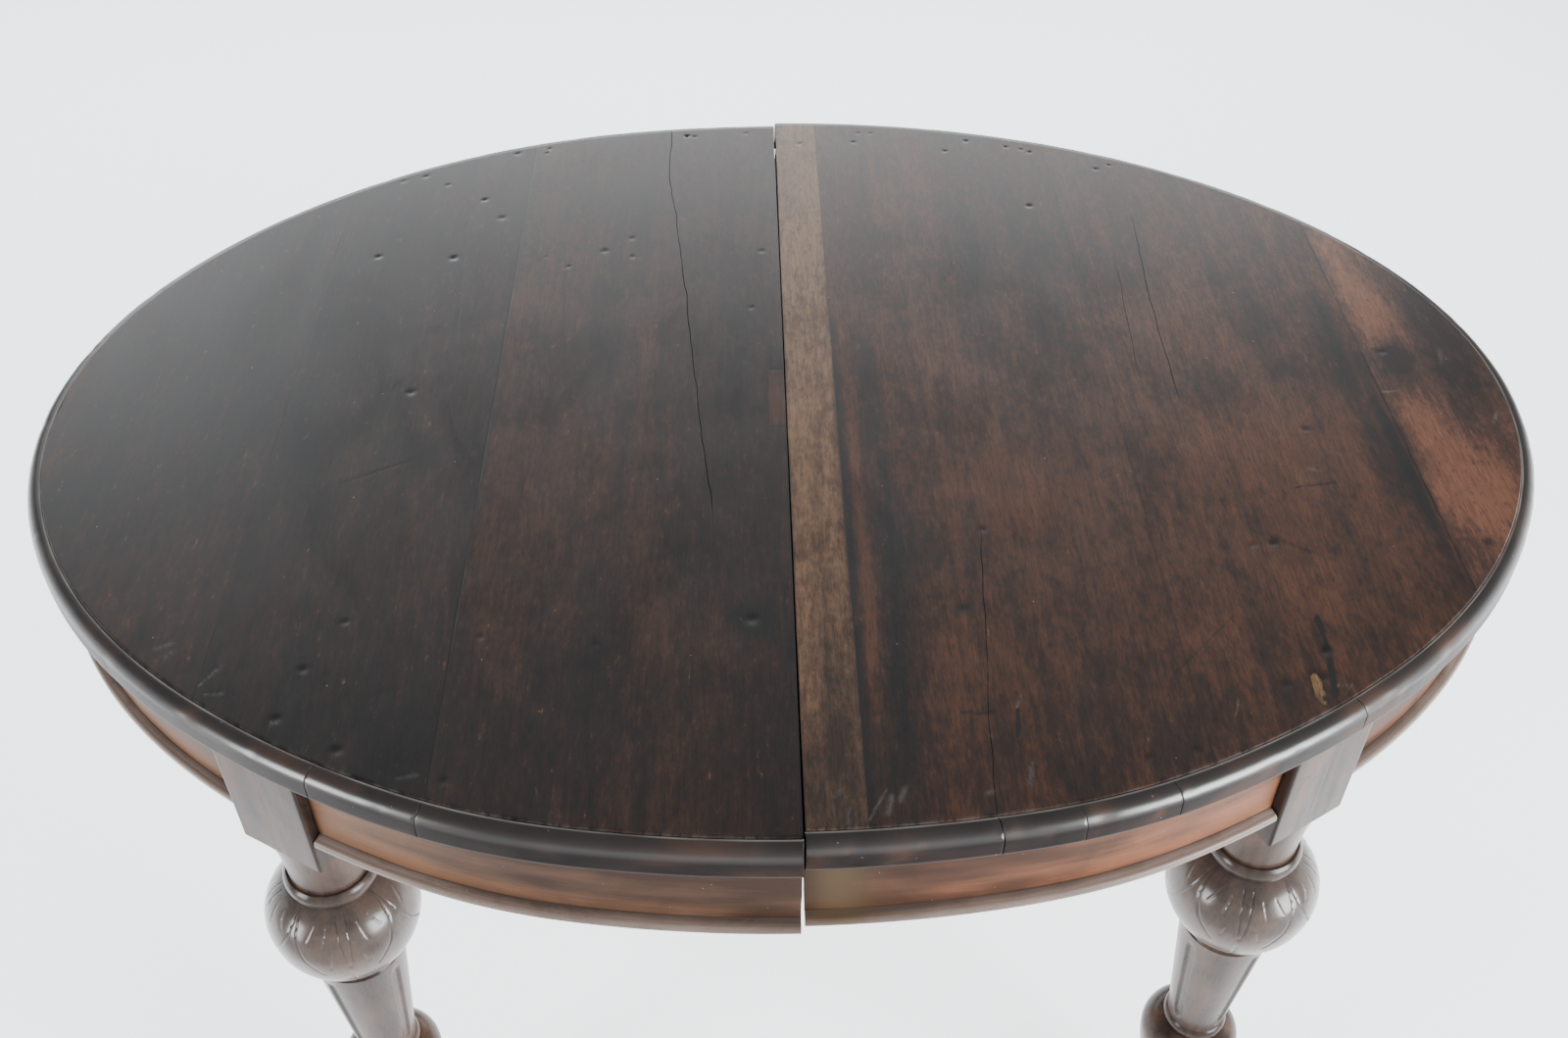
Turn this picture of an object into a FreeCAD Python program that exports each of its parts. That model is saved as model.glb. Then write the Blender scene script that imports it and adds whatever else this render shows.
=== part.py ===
import FreeCAD, Part
import math
import operator
import os
from types import SimpleNamespace

import Sketcher

# Oval extending dining table: two half tops on four turned legs, joined by telescopic runners.
# Millimetres. X runs along the table, Y along the seam between the halves, Z up from the floor.
# The origin is on the floor under the middle of the seam. The front is on the -Y side.

# Driving dimensions. Lengths are in millimetres, angles in degrees.
DIMENSIONS = {
    # The oval and the top
    "table_length": 1400.0,
    "oval_width": 1040.0,
    "table_height": 760.0,
    "top_thickness": 33.0,
    "seam_gap": 3.0,
    "seam_step": 6.5,
    "glue_line": 0.2,
    "overrun": 20.0,
    # Moulded rim round the boards
    "rim_width": 16.5,
    "quirk_depth": 1.5,
    "rim_top_round": 14.0,
    "rim_under_round": 7.0,
    "rim_joint_angle": 63.0,
    # Curved apron
    "apron_inset": 17.0,
    "apron_thickness": 24.0,
    "apron_height": 81.0,
    "tenon_length": 30.0,
    "tenon_thickness": 10.0,
    "tenon_height": 56.0,
    "tenon_setback": 17.0,
    "tenon_root": 10.0,
    "tenon_clearance": 0.3,
    # Bead along the foot of the apron
    "bead_inset": 6.5,
    "bead_nose_height": 11.5,
    "bead_round": 4.5,
    "bead_step_inset": 11.5,
    "bead_step_height": 4.5,
    "bead_step_round": 2.0,
    "bead_end_gap": 0.5,
    # Leg: place and square block
    "leg_inset": 47.7,
    "leg_angle": 52.2,
    "block_width": 83.2,
    "block_height": 117.0,
    "block_edge_round": 2.5,
    # Leg: turned neck, ring and bulb
    "neck_radius": 41.0,
    "neck_straight": 28.0,
    "neck_height": 62.0,
    "neck_waist_radius": 37.0,
    "neck_hollow": 2.2,
    "ring_root_radius": 38.0,
    "ring_height": 17.0,
    "ring_swell": 3.8,
    "bulb_top_radius": 38.5,
    "bulb_radius": 67.8,
    "bulb_rise": 45.5,
    "bulb_drop": 54.5,
    "bulb_foot_radius": 47.0,
    # Leg: collar, fluted shaft and lower ring
    "collar_radius": 43.0,
    "collar_height": 13.0,
    "collar_hollow": 3.0,
    "shaft_top_radius": 42.8,
    "shaft_foot_radius": 31.5,
    "shaft_height": 138.0,
    "flute_width": 8.0,
    "flute_depth": 3.0,
    "flute_margin": 13.0,
    "lower_ring_height": 16.0,
    "lower_ring_swell": 4.5,
    # Leg: vase, ankle ring and foot
    "vase_top_radius": 33.0,
    "vase_radius": 51.0,
    "vase_shoulder": 24.0,
    "vase_waist_radius": 38.5,
    "ankle_radius": 25.0,
    "ankle_ring_radius": 26.5,
    "ankle_ring_height": 13.0,
    "ankle_ring_swell": 4.5,
    "foot_height": 92.0,
    "foot_top_radius": 25.5,
    "foot_radius": 36.0,
    "foot_rise": 26.0,
    "foot_pad_radius": 22.0,
    "foot_pad_height": 8.0,
    "foot_pad_bevel": 2.0,
    # Telescopic runners
    "runner_track": 150.0,
    "runner_width": 28.0,
    "runner_height": 60.0,
    "runner_side_gap": 0.6,
    "runner_relief": 2.0,
    "runner_relief_lead": 10.0,
    "runner_end_clearance": 10.0,
    "runner_setback": 15.0,
    "tongue_depth": 9.0,
    "tongue_root_height": 14.0,
    "tongue_tip_height": 20.0,
    "tongue_clearance": 0.5,
    "carriage_travel": 500.0,
    # Ties of the middle runners
    "tie_width": 60.0,
    "tie_thickness": 18.0,
    "tie_clearance": 3.0,
    "tie_offset": 220.0,
    # Stop pegs of the middle runners
    "stop_radius": 4.0,
    "stop_reach": 5.0,
    "stop_root": 14.0,
    "stop_setback": 35.0,
    "stop_clearance": 0.5,
    "stop_slot_depth": 6.0,
    # Screws
    "screw_radius": 2.4,
    "screw_clearance": 0.1,
    "screw_head_radius": 4.6,
    "screw_head_height": 3.0,
    "screw_grip": 16.0,
    "screw_tip_gap": 0.5,
    "screw_line": 7.5,
    "screw_sink_radius": 5.2,
    "screw_sink_depth": 15.0,
    "tie_screw_grip": 24.0,
    # Seam pegs
    "peg_radius": 6.0,
    "peg_depth": 30.0,
    "peg_fit": 0.1,
    "peg_clearance": 0.4,
    "peg_tip_gap": 1.0,
    "peg_spacing": 300.0,
    # Glue blocks
    "glue_block_length": 70.0,
    "glue_block_width": 32.0,
    "glue_block_height": 32.0,
    "end_block_gap": 32.5,
}

# Where the boards meet, as shares of the half length of the field, counted from the seam
LEFT_BOARDS = ("seam_board", "middle_board", "end_board")
LEFT_BOARD_SHARES = (0, 0.405, 0.688, 1)
RIGHT_BOARDS = ("seam_strip", "inner_board", "middle_board", "end_board")
RIGHT_BOARD_SHARES = (0, 0.069, 0.4536, 0.831, 1)
# Screws along a fixed runner, as shares of the way from the seam to its fixed end
SCREW_SHARES = (0.12, 0.5, 0.88)
# Glue blocks along the side aprons, as shares of the half length
SIDE_BLOCK_SHARES = (0.12, 0.36)
# Height of the vase's widest part to its waist, as a share of the vase below its shoulder
VASE_WAIST_SHARE = 0.48
# Radius of a flute's rounded end, as a share of its width
FLUTE_END_SHARE = 0.55
FLUTES = 4

doc = FreeCAD.newDocument("OvalTable")
sheet = doc.addObject("Spreadsheet::Sheet", "Dims")
for row, (alias, number) in enumerate(DIMENSIONS.items(), start=1):
    sheet.set(f"A{row}", str(number))
    sheet.setAlias(f"A{row}", alias)
doc.recompute()


class Size:
    """A number worked out from the sheet, kept together with the expression that gives it."""

    def __init__(self, value, text):
        self.value = value
        self.text = text

    def combine(self, other, symbol, work, swapped=False):
        other = as_size(other)
        first, second = (other, self) if swapped else (self, other)
        return Size(work(first.value, second.value), f"({first.text} {symbol} {second.text})")

    def __add__(self, other):
        return self.combine(other, "+", operator.add)

    def __sub__(self, other):
        return self.combine(other, "-", operator.sub)

    def __rsub__(self, other):
        return self.combine(other, "-", operator.sub, swapped=True)

    def __mul__(self, other):
        return self.combine(other, "*", operator.mul)

    __radd__ = __add__
    __rmul__ = __mul__

    def __truediv__(self, other):
        return self.combine(other, "/", operator.truediv)

    def __neg__(self):
        return Size(-self.value, f"(-1 * {self.text})")


def as_size(number):
    return number if isinstance(number, Size) else Size(number, str(number))


def root(size):
    return Size(math.sqrt(size.value), f"sqrt({size.text})")


def cosine(angle):
    return Size(math.cos(math.radians(angle.value)), f"cos({angle.text})")


def sine(angle):
    return Size(math.sin(math.radians(angle.value)), f"sin({angle.text})")


def arc_tangent(ratio):
    return Size(math.degrees(math.atan(ratio.value)), f"(atan({ratio.text}) / (1 deg))")


S = SimpleNamespace(**{name: Size(sheet.get(name), f"Dims.{name}") for name in DIMENSIONS})
ZERO = as_size(0)
UP = FreeCAD.Vector(0, 0, 1)

# Levels and reaches that several pieces share
HALF_LENGTH = S.table_length / 2
HALF_WIDTH = S.oval_width / 2
UNDER_TOP = S.table_height - S.top_thickness
APRON_FOOT = UNDER_TOP - S.apron_height
BLOCK_FOOT = UNDER_TOP - S.block_height
BLOCK_HALF = S.block_width / 2
SEAM = S.seam_gap / 2
OVAL_SHIFT = -S.seam_step / 2
APRON_BACK = S.apron_inset + S.apron_thickness

# The leg's axis stands inside the oval, along the oval's normal at the leg's angle
NORMAL_X = HALF_WIDTH * cosine(S.leg_angle)
NORMAL_Y = HALF_LENGTH * sine(S.leg_angle)
NORMAL_LENGTH = root(NORMAL_X * NORMAL_X + NORMAL_Y * NORMAL_Y)
LEG_X = HALF_LENGTH * cosine(S.leg_angle) - S.leg_inset * NORMAL_X / NORMAL_LENGTH
LEG_Y = HALF_WIDTH * sine(S.leg_angle) - S.leg_inset * NORMAL_Y / NORMAL_LENGTH
LEG_TURN = arc_tangent(NORMAL_Y / NORMAL_X)

# Runners: each set has an outer and an inner fixed runner with the carriage's runner between them
RUNNER_PITCH = S.runner_width + S.runner_side_gap
RUNNER_FOOT = UNDER_TOP - S.runner_height
RUNNER_OUTSIDE = S.runner_track + RUNNER_PITCH + S.runner_width / 2 + S.seam_step / 2
RUNNER_REACH_RATIO = RUNNER_OUTSIDE / (HALF_WIDTH - APRON_BACK)
RUNNER_END = ((HALF_LENGTH - APRON_BACK) * root(1 - RUNNER_REACH_RATIO * RUNNER_REACH_RATIO)
              - S.runner_end_clearance)
RUNNER_FREE_END = RUNNER_END - S.runner_setback * 2
CARRIAGE_END = RUNNER_END - S.runner_setback
CARRIAGE_TOP = UNDER_TOP - S.runner_relief
CARRIAGE_FOOT = RUNNER_FOOT - S.tie_clearance
TONGUE_LEVEL = RUNNER_FOOT + S.runner_height / 2
SCREW_SEAT = RUNNER_FOOT + S.screw_sink_depth
SCREW_LENGTH = UNDER_TOP + S.screw_grip - SCREW_SEAT
STOP_X = CARRIAGE_END - S.stop_setback
PEG_LEVEL = S.table_height - S.top_thickness / 2

nodes = {}


def bind(thing, sizes):
    """Tie properties of an object to the sheet."""
    for name, size in sizes.items():
        thing.setExpression(name, as_size(size).text)


def put(thing, x=ZERO, y=ZERO, z=ZERO):
    """Place an object by its base point."""
    bind(thing, {"Placement.Base.x": x, "Placement.Base.y": y, "Placement.Base.z": z})
    return thing


class LegFrame:
    """The axis of a leg of the left half, or of that leg turned into the right half, +X outwards."""

    def __init__(self, side, half="left"):
        self.side = side
        self.angle = LEG_TURN + 180 if side == "front" else 180 - LEG_TURN
        self.x = -LEG_X
        self.y = (-LEG_Y if side == "front" else LEG_Y) + OVAL_SHIFT
        self.to_seam = 1 if side == "front" else -1
        if half == "right":
            self.angle = self.angle - 180
            self.x = -self.x
            self.y = -self.y

    def place(self, thing, x=ZERO, y=ZERO, z=ZERO):
        """Place a piece by its base point in this frame, turned with the leg."""
        across = x * cosine(self.angle) - y * sine(self.angle)
        along = x * sine(self.angle) + y * cosine(self.angle)
        thing.Placement = FreeCAD.Placement(FreeCAD.Vector(), FreeCAD.Rotation(UP, self.angle.value))
        bind(thing, {"Placement.Rotation.Angle": self.angle})
        return put(thing, self.x + across, self.y + along, z)

    def span(self, near, far):
        """A stretch along the tangent, counted towards the seam, as a low and a high size."""
        return (near, far) if self.to_seam > 0 else (-far, -near)


def box(name, x, y, z, frame=None):
    """A block between pairs of low and high sizes, drawn about the origin or in a leg's frame."""
    thing = doc.addObject("Part::Box", name)
    bind(thing, {"Length": x[1] - x[0], "Width": y[1] - y[0], "Height": z[1] - z[0]})
    if frame is None:
        return put(thing, x[0], y[0], z[0])
    return frame.place(thing, x[0], y[0], z[0])


def cylinder(name, radius, length, x, y, z, axis=UP):
    """A round bar that starts at a point and runs along an axis."""
    thing = doc.addObject("Part::Cylinder", name)
    bind(thing, {"Radius": radius, "Height": length})
    thing.Placement = FreeCAD.Placement(FreeCAD.Vector(), FreeCAD.Rotation(UP, axis))
    return put(thing, x, y, z)


def oval(name, inset, low, high):
    """An upright oval prism, drawn in from the table's outline by an inset."""
    outline = doc.addObject("Part::Ellipse", f"{name}_outline")
    bind(outline, {"MajorRadius": HALF_LENGTH - inset, "MinorRadius": HALF_WIDTH - inset})
    prism = doc.addObject("Part::Extrusion", name)
    prism.Base = outline
    prism.DirMode = "Custom"
    prism.Dir = UP
    prism.Solid = True
    bind(prism, {"LengthFwd": high - low})
    return put(prism, ZERO, OVAL_SHIFT, low)


def rounded_oval(name, inset, low, high, under_round, top_round):
    """An oval prism with its lower and upper edges rounded."""
    prism = oval(f"{name}_prism", inset, low, high)
    doc.recompute()
    thing = doc.addObject("Part::Fillet", name)
    thing.Base = prism
    rounds = []
    for number, edge in enumerate(prism.Shape.Edges, start=1):
        if edge.BoundBox.ZLength > (high.value - low.value) / 2:
            continue
        at_foot = edge.BoundBox.ZMin < (low.value + high.value) / 2
        radius = under_round if at_foot else top_round
        if radius is not None:
            rounds.append((number, radius.value, radius.value))
    thing.Edges = rounds
    return thing


def cut(name, base, tools):
    """A piece with several others cut out of it."""
    thing = doc.addObject("Part::Cut", name)
    thing.Base = base
    thing.Tool = tools[0] if len(tools) == 1 else group(f"{name}_tools", tools)
    return thing


def common(name, things):
    """What several solids share."""
    thing = doc.addObject("Part::MultiCommon", name)
    thing.Shapes = things
    return thing


def fuse(name, things):
    """Several solids joined into one piece."""
    thing = doc.addObject("Part::MultiFuse", name)
    thing.Shapes = things
    return thing


def group(name, things):
    """Separate solids that share one node."""
    thing = doc.addObject("Part::Compound", name)
    thing.Links = things
    return thing


def plane_of(body, role):
    return next(item for item in body.Origin.OriginFeatures if item.Role == role)


def bow_radius(chord, sagitta):
    """Radius of an arc that stands out from its chord by a sagitta."""
    return (chord * chord / 4 + sagitta * sagitta) / (sagitta * 2)


def swell_radius(run, rise):
    """Radius of an arc that ends square to the run: its sweep covers the run across and the rise along."""
    return (run * run + rise * rise) / (run * 2)


def loop_sketch(body, role, name, corners, bows=None):
    """A closed sketch through corners. A bow gives the side (1 is left of the way) and radius of an arc
    from its corner to the next one; other stretches are straight."""
    bows = bows or {}
    sketch = body.newObject("Sketcher::SketchObject", name)
    sketch.AttachmentSupport = [(plane_of(body, role), "")]
    sketch.MapMode = "FlatFace"
    count = len(corners)
    points = [FreeCAD.Vector(x.value, y.value, 0) for x, y in corners]
    starts = []
    ends = []
    for index, here in enumerate(points):
        there = points[(index + 1) % count]
        if index in bows:
            side, radius = bows[index]
            chord = there - here
            half = chord.Length / 2
            sagitta = radius.value - math.sqrt(radius.value ** 2 - half ** 2)
            left = FreeCAD.Vector(-chord.y, chord.x, 0).normalize()
            middle = (here + there) / 2 + left * sagitta * side
            turned = side > 0
            arc = Part.Arc(there, middle, here) if turned else Part.Arc(here, middle, there)
            edge = sketch.addGeometry(arc, False)
            starts.append((edge, 2 if turned else 1))
            ends.append((edge, 1 if turned else 2))
        else:
            edge = sketch.addGeometry(Part.LineSegment(here, there), False)
            starts.append((edge, 1))
            ends.append((edge, 2))
    for index in range(count):
        sketch.addConstraint(Sketcher.Constraint("Coincident", *ends[index - 1], *starts[index]))
    for index, corner in enumerate(corners):
        for kind, axis, size in (("DistanceX", -2, corner[0]), ("DistanceY", -1, corner[1])):
            if size is ZERO:
                sketch.addConstraint(Sketcher.Constraint("PointOnObject", *starts[index], axis))
                continue
            label = f"{kind}{index}"
            number = sketch.addConstraint(
                Sketcher.Constraint(kind, -1, 1, *starts[index], size.value))
            sketch.renameConstraint(number, label)
            sketch.setExpression(f".Constraints.{label}", size.text)
    for index, (side, radius) in bows.items():
        label = f"Bow{index}"
        number = sketch.addConstraint(Sketcher.Constraint("Radius", starts[index][0], radius.value))
        sketch.renameConstraint(number, label)
        sketch.setExpression(f".Constraints.{label}", radius.text)
    return sketch


def keep(thing, node, half=None):
    """Name a finished piece. The right half is the left half turned half a turn about the origin."""
    thing.Label = node
    if half == "right":
        thing.Placement = FreeCAD.Placement(FreeCAD.Vector(), FreeCAD.Rotation(UP, 180))
    nodes[node] = thing


def side_name(half, side):
    """The name of a left-half side once its half is in place."""
    if half == "left":
        return f"{half}_{side}"
    return f"{half}_{'back' if side == 'front' else 'front'}"


WHOLE_HEIGHT = (-S.overrun, S.table_height + S.overrun)
WHOLE_WIDTH = (-S.oval_width, S.oval_width)


def half_space(half):
    """Everything on the left of the seam."""
    return box(f"{half}_space", (-S.table_length, -SEAM), WHOLE_WIDTH, WHOLE_HEIGHT)


def quarter_space(name, angle):
    """A quarter of the plan, from a direction on round by a right angle."""
    thing = box(name, (ZERO, S.table_length), (ZERO, S.table_length), WHOLE_HEIGHT)
    thing.Placement = FreeCAD.Placement(FreeCAD.Vector(), FreeCAD.Rotation(UP, angle.value))
    bind(thing, {"Placement.Rotation.Angle": angle})
    return put(thing, ZERO, OVAL_SHIFT, WHOLE_HEIGHT[0])


def ring(name, outside, inset, low, high):
    """A solid with its middle taken out, as far as an inset from the table's outline."""
    core = oval(f"{name}_core", inset, low - S.overrun, high + S.overrun)
    return cut(name, outside, [core])


def screw_places(half):
    """The places of the screws in both fixed runners of a half, in the left half's frame."""
    line = S.screw_line - S.runner_width / 2
    for track, y in (("outer", -S.runner_track - RUNNER_PITCH), ("inner", S.runner_track - RUNNER_PITCH)):
        for number, share in enumerate(SCREW_SHARES, start=1):
            yield f"{half}_{track}_screw_{number}", -RUNNER_END * share, y + line


def cone(name, foot_radius, top_radius, height, x, y, z):
    """An upright cone that narrows from its foot to its top."""
    thing = doc.addObject("Part::Cone", name)
    bind(thing, {"Radius1": foot_radius, "Radius2": top_radius, "Height": height})
    return put(thing, x, y, z)


def screw(name, x, y, seat, length):
    """A countersunk wood screw, head down, with its head's face at a level."""
    head = cone(f"{name}_head", S.screw_head_radius, S.screw_radius, S.screw_head_height, x, y, seat)
    shank = cylinder(f"{name}_shank", S.screw_radius, length, x, y, seat)
    return fuse(name, [head, shank])


def screw_hole(name, x, y, seat, length):
    """The bore and the countersink that such a screw sits in, with its clearance."""
    radius = S.screw_radius + S.screw_clearance
    bore = cylinder(f"{name}_bore", radius, length + S.screw_tip_gap + S.overrun, x, y, seat - S.overrun)
    sink = cone(f"{name}_sink", S.screw_head_radius + S.screw_clearance, radius,
                S.screw_head_height + S.screw_clearance, x, y, seat)
    return [bore, sink]


def peg_places():
    """The seam pegs' places along the seam."""
    for number, step in enumerate((-1, 0, 1), start=1):
        yield number, S.peg_spacing * step


def half_field(half):
    """The boarded part of a half top, with the screws' and the seam pegs' holes."""
    whole = oval(f"{half}_field_oval", S.rim_width + S.glue_line, UNDER_TOP, S.table_height)
    plain = common(f"{half}_field_plain", [whole, half_space(f"{half}_field")])
    holes = []
    hole_radius = S.screw_radius + S.screw_clearance
    for name, x, y in screw_places(half):
        depth = S.screw_grip + S.screw_tip_gap + S.overrun
        holes.append(cylinder(f"{name}_pilot", hole_radius, depth, x, y, UNDER_TOP - S.overrun))
    slack = S.peg_fit if half == "left" else S.peg_clearance
    for number, y in peg_places():
        x = -SEAM - S.peg_depth - S.peg_tip_gap
        length = S.peg_depth + S.peg_tip_gap + S.overrun
        holes.append(cylinder(f"{half}_peg_hole_{number}", S.peg_radius + slack, length, x, y, PEG_LEVEL,
                              FreeCAD.Vector(1, 0, 0)))
    return cut(f"{half}_field", plain, holes)


def boards(half):
    """The boards of a half top, side by side from the seam to the end, grain along the seam."""
    names, shares = {"left": (LEFT_BOARDS, LEFT_BOARD_SHARES),
                     "right": (RIGHT_BOARDS, RIGHT_BOARD_SHARES)}[half]
    field = half_field(half)
    reach = HALF_LENGTH - S.rim_width
    for index, name in enumerate(names):
        far = reach * shares[index + 1]
        near = reach * shares[index]
        slab = box(f"{half}_{name}_slab", (-far, -near), WHOLE_WIDTH, WHOLE_HEIGHT)
        keep(common(f"{half}_{name}", [field, slab]), f"{half}_{name}", half)


def rims(half):
    """The moulded rim of a half: curved lengths butted on planes through the oval's centre."""
    top = S.table_height - S.quirk_depth
    outside = rounded_oval(f"{half}_rim_outside", ZERO, UNDER_TOP, top, S.rim_under_round, S.rim_top_round)
    whole = ring(f"{half}_rim", outside, S.rim_width, UNDER_TOP, top)
    space = half_space(f"{half}_rim")
    straight = as_size(180)
    square = as_size(90)
    spans = {
        "front": [straight + S.rim_joint_angle],
        "front_end": [straight, straight + S.rim_joint_angle - square],
        "back_end": [square, straight - S.rim_joint_angle],
        "back": [square - S.rim_joint_angle],
    }
    for name, angles in spans.items():
        side, _, end = name.partition("_")
        node = f"{side_name(half, side)}{'_end' if end else ''}_rim"
        quarters = [quarter_space(f"{node}_quarter_{number}", angle)
                    for number, angle in enumerate(angles, start=1)]
        keep(common(node, [whole, space] + quarters), node, half)


def tenon(name, frame, to_seam, clearance=ZERO):
    """An apron's tenon or, with a clearance, its mortise, on one side of a leg's block."""
    root_end = S.tenon_root if clearance is ZERO else S.overrun
    near = BLOCK_HALF - S.tenon_length - clearance
    far = BLOCK_HALF + root_end
    along = (near, far) if to_seam * (frame.to_seam if frame else 1) > 0 else (-far, -near)
    middle = S.tenon_setback
    across = (middle - S.tenon_thickness / 2 - clearance, middle + S.tenon_thickness / 2 + clearance)
    level = UNDER_TOP - S.apron_height / 2
    height = (level - S.tenon_height / 2 - clearance, level + S.tenon_height / 2 + clearance)
    return box(name, across, along, height, frame)


def beside_leg(name, frame, near):
    """Everything from a distance beside a leg's axis to the seam, on that leg's side of the table."""
    slab = box(f"{name}_slab", WHOLE_WIDTH, frame.span(near, S.table_length), WHOLE_HEIGHT, frame)
    across = (-S.oval_width, OVAL_SHIFT) if frame.side == "front" else (OVAL_SHIFT, S.oval_width)
    side = box(f"{name}_side", (-S.table_length, -SEAM), across, WHOLE_HEIGHT)
    return common(name, [slab, side])


def side_length(node, whole, frame, gap):
    """The stretch of a ring between the seam and the leg on one side."""
    return common(f"{node}_length", [whole, beside_leg(f"{node}_reach", frame, BLOCK_HALF + gap)])


def end_length(node, whole, frames, gap):
    """The stretch of a ring round the end, between the two legs."""
    half_ring = common(f"{node}_half", [whole, half_space(node)])
    reaches = [beside_leg(f"{node}_{frame.side}_reach", frame, -BLOCK_HALF - gap) for frame in frames]
    return cut(f"{node}_length", half_ring, reaches)


def aprons(half, frames):
    """The curved apron of a half: two side lengths and one end length, tenoned into the legs."""
    outside = oval(f"{half}_apron_outside", S.apron_inset, APRON_FOOT, UNDER_TOP)
    whole = ring(f"{half}_apron", outside, APRON_BACK, APRON_FOOT, UNDER_TOP)
    for frame in frames:
        node = f"{side_name(half, frame.side)}_apron"
        length = side_length(node, whole, frame, ZERO)
        keep(fuse(node, [length, tenon(f"{node}_tenon", frame, 1)]), node, half)
    node = f"{half}_end_apron"
    length = end_length(node, whole, frames, ZERO)
    tenons = [tenon(f"{node}_{frame.side}_tenon", frame, -1) for frame in frames]
    keep(fuse(node, [length] + tenons), node, half)


def beads(half, frames):
    """The bead along the foot of each apron length: a round nose with a small step above it."""
    step_foot = APRON_FOOT + S.bead_nose_height
    nose = rounded_oval(f"{half}_bead_nose", S.bead_inset, APRON_FOOT, step_foot, S.bead_round, S.bead_round)
    step = rounded_oval(f"{half}_bead_step", S.bead_step_inset, step_foot, step_foot + S.bead_step_height,
                        None, S.bead_step_round)
    outside = fuse(f"{half}_bead_outside", [nose, step])
    whole = ring(f"{half}_bead", outside, S.apron_inset - S.glue_line, APRON_FOOT, UNDER_TOP)
    for frame in frames:
        node = f"{side_name(half, frame.side)}_bead"
        keep(side_length(node, whole, frame, S.bead_end_gap), node, half)
    node = f"{half}_end_bead"
    keep(end_length(node, whole, frames, S.bead_end_gap), node, half)


def leg_profile():
    """Corners and bows of the turned part of a leg, from the block down to the floor, axis at x = 0."""
    neck_foot = BLOCK_FOOT - S.neck_height
    ring_foot = neck_foot - S.ring_height
    bulb_waist = ring_foot - S.bulb_rise
    bulb_foot = bulb_waist - S.bulb_drop
    shaft_top = bulb_foot - S.collar_height
    shaft_foot = shaft_top - S.shaft_height
    vase_top = shaft_foot - S.lower_ring_height
    vase_widest = vase_top - S.vase_shoulder
    ankle_foot = S.foot_height
    ankle_top = ankle_foot + S.ankle_ring_height
    vase_waist = vase_widest - (vase_widest - ankle_top) * VASE_WAIST_SHARE
    foot_widest = S.foot_height - S.foot_rise
    neck_run = S.neck_radius - S.neck_waist_radius
    neck_drop = S.neck_height - S.neck_straight
    neck_chord = root(neck_run * neck_run + neck_drop * neck_drop)
    outwards = 1
    inwards = -1
    stretches = [
        (ZERO, BLOCK_FOOT, None),
        (S.neck_radius, BLOCK_FOOT, None),
        (S.neck_radius, BLOCK_FOOT - S.neck_straight, (inwards, bow_radius(neck_chord, S.neck_hollow))),
        (S.neck_waist_radius, neck_foot, None),
        (S.ring_root_radius, neck_foot, (outwards, bow_radius(S.ring_height, S.ring_swell))),
        (S.ring_root_radius, ring_foot, None),
        (S.bulb_top_radius, ring_foot,
         (outwards, swell_radius(S.bulb_radius - S.bulb_top_radius, S.bulb_rise))),
        (S.bulb_radius, bulb_waist,
         (outwards, swell_radius(S.bulb_radius - S.bulb_foot_radius, S.bulb_drop))),
        (S.bulb_foot_radius, bulb_foot, None),
        (S.collar_radius, bulb_foot, (inwards, bow_radius(S.collar_height, S.collar_hollow))),
        (S.collar_radius, shaft_top, None),
        (S.shaft_top_radius, shaft_top, None),
        (S.shaft_foot_radius, shaft_foot, (outwards, bow_radius(S.lower_ring_height, S.lower_ring_swell))),
        (S.shaft_foot_radius, vase_top, None),
        (S.vase_top_radius, vase_top,
         (outwards, swell_radius(S.vase_radius - S.vase_top_radius, S.vase_shoulder))),
        (S.vase_radius, vase_widest,
         (outwards, swell_radius(S.vase_radius - S.vase_waist_radius, vase_widest - vase_waist))),
        (S.vase_waist_radius, vase_waist,
         (inwards, swell_radius(S.vase_waist_radius - S.ankle_radius, vase_waist - ankle_top))),
        (S.ankle_radius, ankle_top, None),
        (S.ankle_ring_radius, ankle_top, (outwards, bow_radius(S.ankle_ring_height, S.ankle_ring_swell))),
        (S.ankle_ring_radius, ankle_foot, None),
        (S.foot_top_radius, ankle_foot,
         (outwards, swell_radius(S.foot_radius - S.foot_top_radius, S.foot_rise))),
        (S.foot_radius, foot_widest,
         (outwards, swell_radius(S.foot_radius - S.foot_pad_radius, foot_widest - S.foot_pad_height))),
        (S.foot_pad_radius, S.foot_pad_height, None),
        (S.foot_pad_radius - S.foot_pad_bevel, ZERO, None),
        (ZERO, ZERO, None),
    ]
    corners = [(radius, level) for radius, level, _ in stretches]
    bows = {index: bow for index, (_, _, bow) in enumerate(stretches) if bow}
    return corners, bows, shaft_top, shaft_foot


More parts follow.
